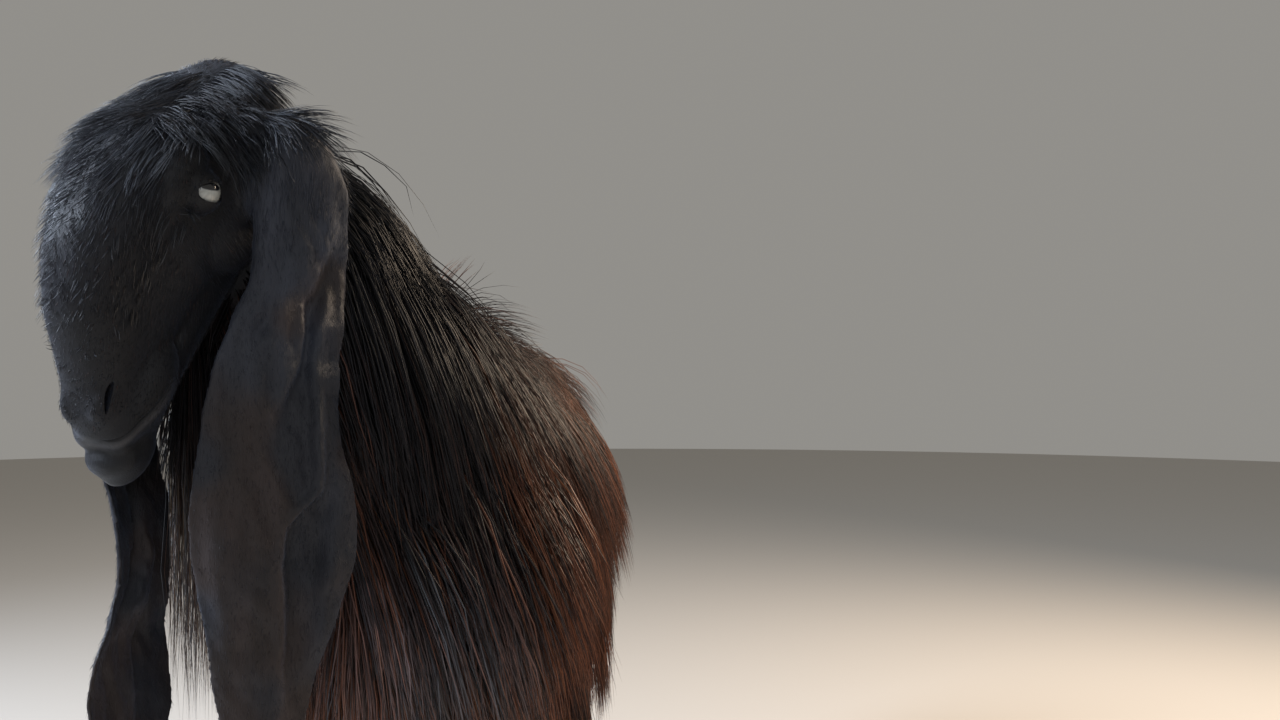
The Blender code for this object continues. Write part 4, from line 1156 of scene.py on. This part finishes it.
def body_places(body, face):
    """How dense each coat of the body is on each triangle: coat, throat, bib, tail and legs."""
    x, y, z = body.middles.T
    ahead, up = body.normals[:, 1], body.normals[:, 2]
    free = outside(body.middles, y < THROAT_BACK, face.tree)
    coat = (0.55 + 0.45 * ramp(up, -0.6, 0.2)) * (z > COAT_FOOT) * (y < RUMP_END) * (free | (y >= HEAD_NEAR))
    throat = free & (z > THROAT_HEIGHTS[0]) & (z < THROAT_HEIGHTS[1]) & (ahead < 0.2)
    bib = free & (x < neck_middle(y) - 0.008) & (y < BIB_BACK) & (ahead < 0.1)
    bib = bib & (z > BIB_HEIGHTS[0]) & (z < BIB_HEIGHTS[1])
    tail = (y > TAIL_START) & (z > TAIL_FOOT)
    legs = (z > LEG_HEIGHTS[0]) & (z < LEG_HEIGHTS[1])
    return coat, throat * (0.6 + 1.6 * (x < neck_middle(y) + 0.02)), bib * 1.0, tail * 1.0, legs * 1.0


def head_places(face, body, ears):
    """How dense each coat of the head is on each triangle: face, brow, crown and ears."""
    of_ears = ear_share(face.middles, ears)
    of_face = (1 - of_ears) * outside(face.middles, np.ones(len(of_ears), bool), body.tree)
    along, left, brow = in_head(face.middles).T
    of_brow = of_face * (along < 21) * (brow > 0) * (np.abs(left) < 4.8)
    of_crown = of_face * (along < 5) * (brow > -3.5) * (np.abs(left) > 1.5)
    return of_face, of_brow, of_crown, of_ears


def body_groom(root, normal, chance):
    """How the coat of torso, neck and upper legs lies: lean, length, lift, fall and rise."""
    x, y, z = root
    nx, ny, nz = normal
    if z < COAT_FOOT:
        return None
    side = math.copysign(1.0, x - neck_middle(y) + chance.normal(0, 0.006))
    top = max(nz, 0.0)
    lean = (0.45 * nx + 0.9 * side * top, 0.10 + 0.30 * top + chance.normal(0, 0.10), -1.0)
    if y < -0.40 and z > 0.80:
        return lean, chance.uniform(*LENGTHS["nape"]), chance.uniform(0.006, 0.030), *HANG["nape"]
    length = LONG["flank"]
    neck = y < THROAT_BACK
    if neck:
        length = LONG["chest"] if ny < -0.3 else LONG["crest"] if z > 0.70 else LONG["neck"]
    if top > 0.7:
        length = LONG["back"]
    if nz < -0.45 and not neck:
        length = LONG["belly"]
    if y > 0.30:
        lean = (lean[0], 0.35, -1.0)
        length = LONG["rump"]
    if z < THIGH_TOP and abs(x) > 0.05:
        length = LONG["thigh"] + THIGH_MORE * (z - COAT_FOOT) / (THIGH_TOP - COAT_FOOT)
    if -0.31 < y < -0.10 and top > 0.8 and chance.random() < 0.35:
        return (0.8, 0.5, 0.4), chance.uniform(*LENGTHS["withers"]), 0.02, *HANG["withers"]
    length *= chance.uniform(0.75, 1.15)
    lift = chance.uniform(0.004, 0.020) + 0.004 * top
    fall, rise = HANG["body"]
    return lean, length, lift, fall, rise + 0.25 * top


def tail_groom(root, normal, chance):
    """Hair of the tail."""
    lean = (normal[0] * 0.6, 0.4, -1.0)
    return lean, chance.uniform(*LENGTHS["tail"]), 0.008, *HANG["tail"]


def leg_groom(root, normal, chance):
    """Short hair that lies down the legs, longer behind."""
    behind = max(normal[1], 0.0)
    length = chance.uniform(*LENGTHS["leg"]) + 0.012 * behind
    fall, rise = HANG["leg"]
    return (normal[0] * 0.1, 0.25, -1.0), length, 0.0008, fall, rise + 0.2 * behind


def throat_groom(root, normal, chance):
    """The ruff of throat and chest: long hair that hangs off the body to the front and sides."""
    x, y, z = root
    side = math.copysign(1.0, x - neck_middle(y))
    lean = (0.55 * side + 0.3 * normal[0], -0.30, -1.0)
    long = float(np.interp(z, (0.50, 0.68, 0.72, 0.83), (0.16, 0.23, 0.17, 0.20)))
    lift = (0.095 if z < 0.69 else 0.06) * chance.random() ** 0.7
    return lean, long * chance.uniform(0.75, 1.1), lift, *HANG["throat"]


def bib_groom(root, normal, chance):
    """The longest hair of the throat, which hangs straight down between the ears."""
    lean = (chance.normal(-0.07, 0.08), -0.08 + chance.normal(0, 0.06), -1.0)
    return lean, chance.uniform(*LENGTHS["bib"]), chance.uniform(0.004, 0.020), *HANG["bib"]


def face_groom(root, normal, chance):
    """Short hair that lies down the face and back over the cheeks."""
    along, _, brow = HEAD.inverted() @ Vector(root)
    if along > 23.2 and brow < -2.2:
        return None
    lean = NOSE * 0.7 + Vector((0, 0, -0.5)) + LEFT * chance.normal(0, 0.12)
    if along < 12 and brow < 1.5:
        lean = NOSE * 0.4 - BROW * 0.9 + LEFT * chance.normal(0, 0.12)
    away = math.hypot(along - EYE_PLACE[0], brow - EYE_PLACE[2])
    short = float(np.interp(away, (1.6, 3.0), (0.35, 1.0)))
    length = chance.uniform(*LENGTHS["face"]) * short * (0.5 if along > 18 else 1.0)
    return lean, length, 0.0005, *HANG["face"]


def forelock_groom(root, normal, chance):
    """Longer, streaky hair from the poll over the forehead, ever sparser down the nose."""
    along, left, brow = HEAD.inverted() @ Vector(root)
    if brow < 0.0 or along > 21.0 or abs(left) > 4.6:
        return None
    if chance.random() > float(np.interp(along, (-4, 6, 12, 21), (1.0, 0.9, 0.45, 0.10))):
        return None
    lean = NOSE - LEFT * 0.28 + LEFT * 0.05 * left + LEFT * chance.normal(0, 0.10)
    length = float(np.interp(along, (-4, 4, 9, 15, 21), (0.046, 0.040, 0.026, 0.014, 0.008)))
    return lean, length * chance.uniform(0.7, 1.2), chance.uniform(0.0003, 0.0016), *HANG["forelock"]


def crown_groom(root, normal, chance):
    """Soft, tousled hair of the poll that falls over the roots of the ears."""
    along, left, _ = HEAD.inverted() @ Vector(root)
    side = math.copysign(1.0, left)
    lean = LEFT * side * 0.8 + Vector((0, 0.15, -0.8)) + LEFT * chance.normal(0, 0.25)
    long = 1.35 if along < 1.0 else 1.0
    return lean, long * chance.uniform(*LENGTHS["crown"]), chance.uniform(0.001, 0.007), *HANG["crown"]


def ear_groom(root, normal, chance):
    """Very short hair down the ear, longer where the ear leaves the head."""
    more = float(np.interp(root[2], (0.78, 0.83, 0.87), (1.0, 1.8, 3.2)))
    length = more * chance.uniform(*LENGTHS["ear"])
    lift = 0.0003 if root[2] < 0.79 else chance.uniform(0.0005, 0.003)
    return (chance.normal(0, 0.12), chance.normal(0, 0.12), -1.0), length, lift, *HANG["ear"]


def set_inputs(node, **values):
    """Sets a node's inputs by name, and gives the node back."""
    for name, value in values.items():
        node.inputs[name.replace("_", " ")].default_value = value
    return node


def material(name, **values):
    """A new material with its node tree and its shader, set to the given values."""
    made = bpy.data.materials.new(name)
    made.use_nodes = True
    return made, made.node_tree, set_inputs(made.node_tree.nodes["Principled BSDF"], **values)


def tint_on(tree, shader):
    """Takes a shader's colour from the tint of its mesh."""
    tint = tree.nodes.new("ShaderNodeAttribute")
    tint.attribute_name = "Tint"
    tree.links.new(tint.outputs["Color"], shader.inputs["Base Color"])


def grain_of(tree, stretch, **values):
    """The output of a noise that is drawn out along an axis of the piece."""
    place = tree.nodes.new("ShaderNodeTexCoord")
    mapping = set_inputs(tree.nodes.new("ShaderNodeMapping"), Scale=stretch)
    grain = set_inputs(tree.nodes.new("ShaderNodeTexNoise"), **values)
    tree.links.new(place.outputs["Object"], mapping.inputs["Vector"])
    tree.links.new(mapping.outputs["Vector"], grain.inputs["Vector"])
    return grain.outputs["Fac"]


def glossy(name):
    """A material for hair or skin: the mesh's own tint, and a gloss."""
    rough, shine, sheen = GLOSS[name]
    made, tree, shader = material(
        name, Roughness=rough, Specular_IOR_Level=shine, Sheen_Weight=sheen,
        Sheen_Roughness=SHEEN_ROUGHNESS, Sheen_Tint=(*BLUE_SHEEN, 1),
    )
    tint_on(tree, shader)
    return made, tree, shader


def skin_material():
    """Skin under or with short fur: its tint and a fine bump drawn out along the lie of the hair."""
    made, tree, shader = glossy("skin")
    grain = grain_of(tree, (1.0, 1.0, 0.10), Scale=1500.0, Detail=3.0, Roughness=0.6)
    bump = set_inputs(tree.nodes.new("ShaderNodeBump"), Strength=0.5, Distance=0.0012)
    tree.links.new(grain, bump.inputs["Height"])
    tree.links.new(bump.outputs["Normal"], shader.inputs["Normal"])
    return made


def tinted(item, colours):
    """Gives a mesh its tint at every vertex."""
    rgba = np.concatenate([colours, np.ones((len(colours), 1))], axis=1)
    layer = item.data.color_attributes.new("Tint", "FLOAT_COLOR", "POINT")
    layer.data.foreach_set("color", rgba.reshape(-1).astype(np.float32))


def dressed(item, look, slot, *nodes):
    """Gives a piece its material and smooth faces, and hides the nodes that it stands for. Its slot is not
    used.
    """
    item.data.materials.clear()
    item.data.materials.append(look)
    item.data.polygons.foreach_set("use_smooth", np.ones(len(item.data.polygons), bool))
    if nodes:
        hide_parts(*nodes)
    return item


def eye_material():
    """The eye's own tint under a clear, wet front."""
    made, tree, shader = material(
        "eye", Roughness=0.12, Specular_IOR_Level=0.6, Coat_Weight=0.6, Coat_Roughness=0.03
    )
    tint_on(tree, shader)
    return made


def horn_material():
    """Hoof horn, dark with fine lines."""
    made, tree, shader = material("hoof", Roughness=0.5)
    colours = tree.nodes.new("ShaderNodeValToRGB")
    for stop, colour in zip(colours.color_ramp.elements, HORN):
        stop.color = colour
    tree.links.new(grain_of(tree, (1.0, 1.0, 6.0), Scale=60.0, Detail=3.0), colours.inputs["Fac"])
    tree.links.new(colours.outputs["Color"], shader.inputs["Base Color"])
    return made


def eye(side):
    """An eyeball with its pale iris, dark ring and level pupil drawn in colour."""
    made = ball("eye", EYE_PLACE, (EYE_RADIUS,) * 3, side, 6)
    middle = on_head(EYE_PLACE, side)
    out = (LEFT * side + NOSE * 0.10 + BROW * 0.20 + Vector((0, 0, 0.20))).normalized()
    level = out.cross(Vector((0, 0, 1))).normalized()
    upright = level.cross(out)
    shades = []
    for vertex in made.data.vertices:
        ray = (vertex.co - middle).normalized()
        u, v, front = ray.dot(level), ray.dot(upright), ray.dot(out)
        reach = math.hypot(u, v) if front > 0 else 2.0
        grain = 0.5 + 0.5 * noise.noise(Vector((math.atan2(v, u) * 6, reach * 3, side)))
        shade = blend(blend(*IRIS, grain), IRIS_RING, float(ramp(reach, 0.80, 0.94)))
        inside = (u / PUPIL_SIZE[0]) ** 2 + ((v - 0.01) / PUPIL_SIZE[1]) ** 2
        shades.append(blend(shade, PUPIL, float(1 - ramp(inside, 0.7, 1.25))))
    tinted(made, np.array(shades))
    return made


def stage_and_light(shift):
    """A pale floor, a soft sky, a cool light from the upper left and a warm one from behind."""
    shape = bmesh.new()
    bmesh.ops.create_circle(shape, cap_ends=True, segments=96, radius=9.0)
    floor = placed("floor", shape)
    floor.data.transform(Matrix.Translation((0, 0, -0.0002)))
    floor.data.materials.append(material("floor", Base_Color=FLOOR, Roughness=0.9)[0])
    world = bpy.data.worlds.new("sky")
    bpy.context.scene.world = world
    world.use_nodes = True
    set_inputs(world.node_tree.nodes["Background"], Color=SKY, Strength=SKY_STRENGTH)
    for name, place, aim, size, power, colour in LIGHTS:
        light = bpy.data.lights.new(name, "AREA")
        light.energy, light.size, light.color = power, size, colour
        made = linked(name, light)
        made.location = place
        made.rotation_mode = "QUATERNION"
        made.rotation_quaternion = (Vector(aim) - Vector(place)).to_track_quat("-Z", "Y")
    data = bpy.data.cameras.new("camera")
    data.lens = LENS
    data.clip_start = 0.05
    camera = linked("camera", data)
    camera.location = CAMERA + shift
    camera.rotation_euler = (math.radians(90), 0, LOOK)
    bpy.context.scene.camera = camera
    bpy.context.scene.view_settings.view_transform = "Standard"


def main():
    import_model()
    low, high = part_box("eye_left")
    shift = (low + high) / 2 - on_head(EYE_PLACE)
    chance = np.random.default_rng(SEED)
    few = 1.0

    body = fused("body", body_forms(), BODY_VOXEL, BODY_ROUNDS)
    face = head()
    on_body, on_face = Surface(body), Surface(face)
    ears = [ear_guide(word) for word in EARS]
    of_coat, of_throat, of_bib, of_tail, of_legs = body_places(on_body, on_face)
    of_face, of_brow, of_crown, of_ears = head_places(on_face, on_body, ears)
    long_hair, short_hair = [], []
    for row in (
        ("coat_body", of_coat, body_groom, body_colour, on_face.tree),
        ("coat_throat", of_throat, throat_groom, body_colour, on_face.tree),
        ("coat_bib", of_bib, bib_groom, body_colour, on_face.tree, bib_tips),
        ("coat_tail", of_tail, tail_groom, body_colour),
        ("coat_legs", of_legs, leg_groom, body_colour),
    ):
        long_hair += grow(on_body, few, chance, *row)
    for row in (
        ("coat_face", of_face, face_groom, head_colour),
        ("coat_brow", of_brow, forelock_groom, brow_colour),
        ("coat_crown", of_crown, crown_groom, brow_colour),
        ("coat_ears", of_ears, ear_groom, ear_colour),
    ):
        short_hair += grow(on_face, few, chance, *row)

    skin = one_skin(body, face)
    tinted(skin, skin_colour(vertices_of(skin), on_face, ears))
    strands, fine = glossy("coat")[0], glossy("short_hair")[0]
    pieces = [dressed(piece, strands, "coat") for piece in long_hair]
    pieces += [dressed(piece, fine, "face") for piece in short_hair]
    pieces.append(dressed(skin, skin_material(), "coat", *FLESH))
    glass, horn = eye_material(), horn_material()
    for side, word in ((1, "left"), (-1, "right")):
        pieces.append(dressed(eye(side), glass, "eye", "eye_" + word))
        for end, foot in (("front", FOREFOOT), ("rear", HINDFOOT)):
            for out, edge in ((side, "outer"), (-side, "inner")):
                pieces.append(dressed(claw(foot, side, out), horn, "hoof", f"claw_{end}_{word}_{edge}"))
    for piece in pieces:
        piece.data.transform(Matrix.Translation(shift))
        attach(piece, "root")
    stage_and_light(shift)


main()
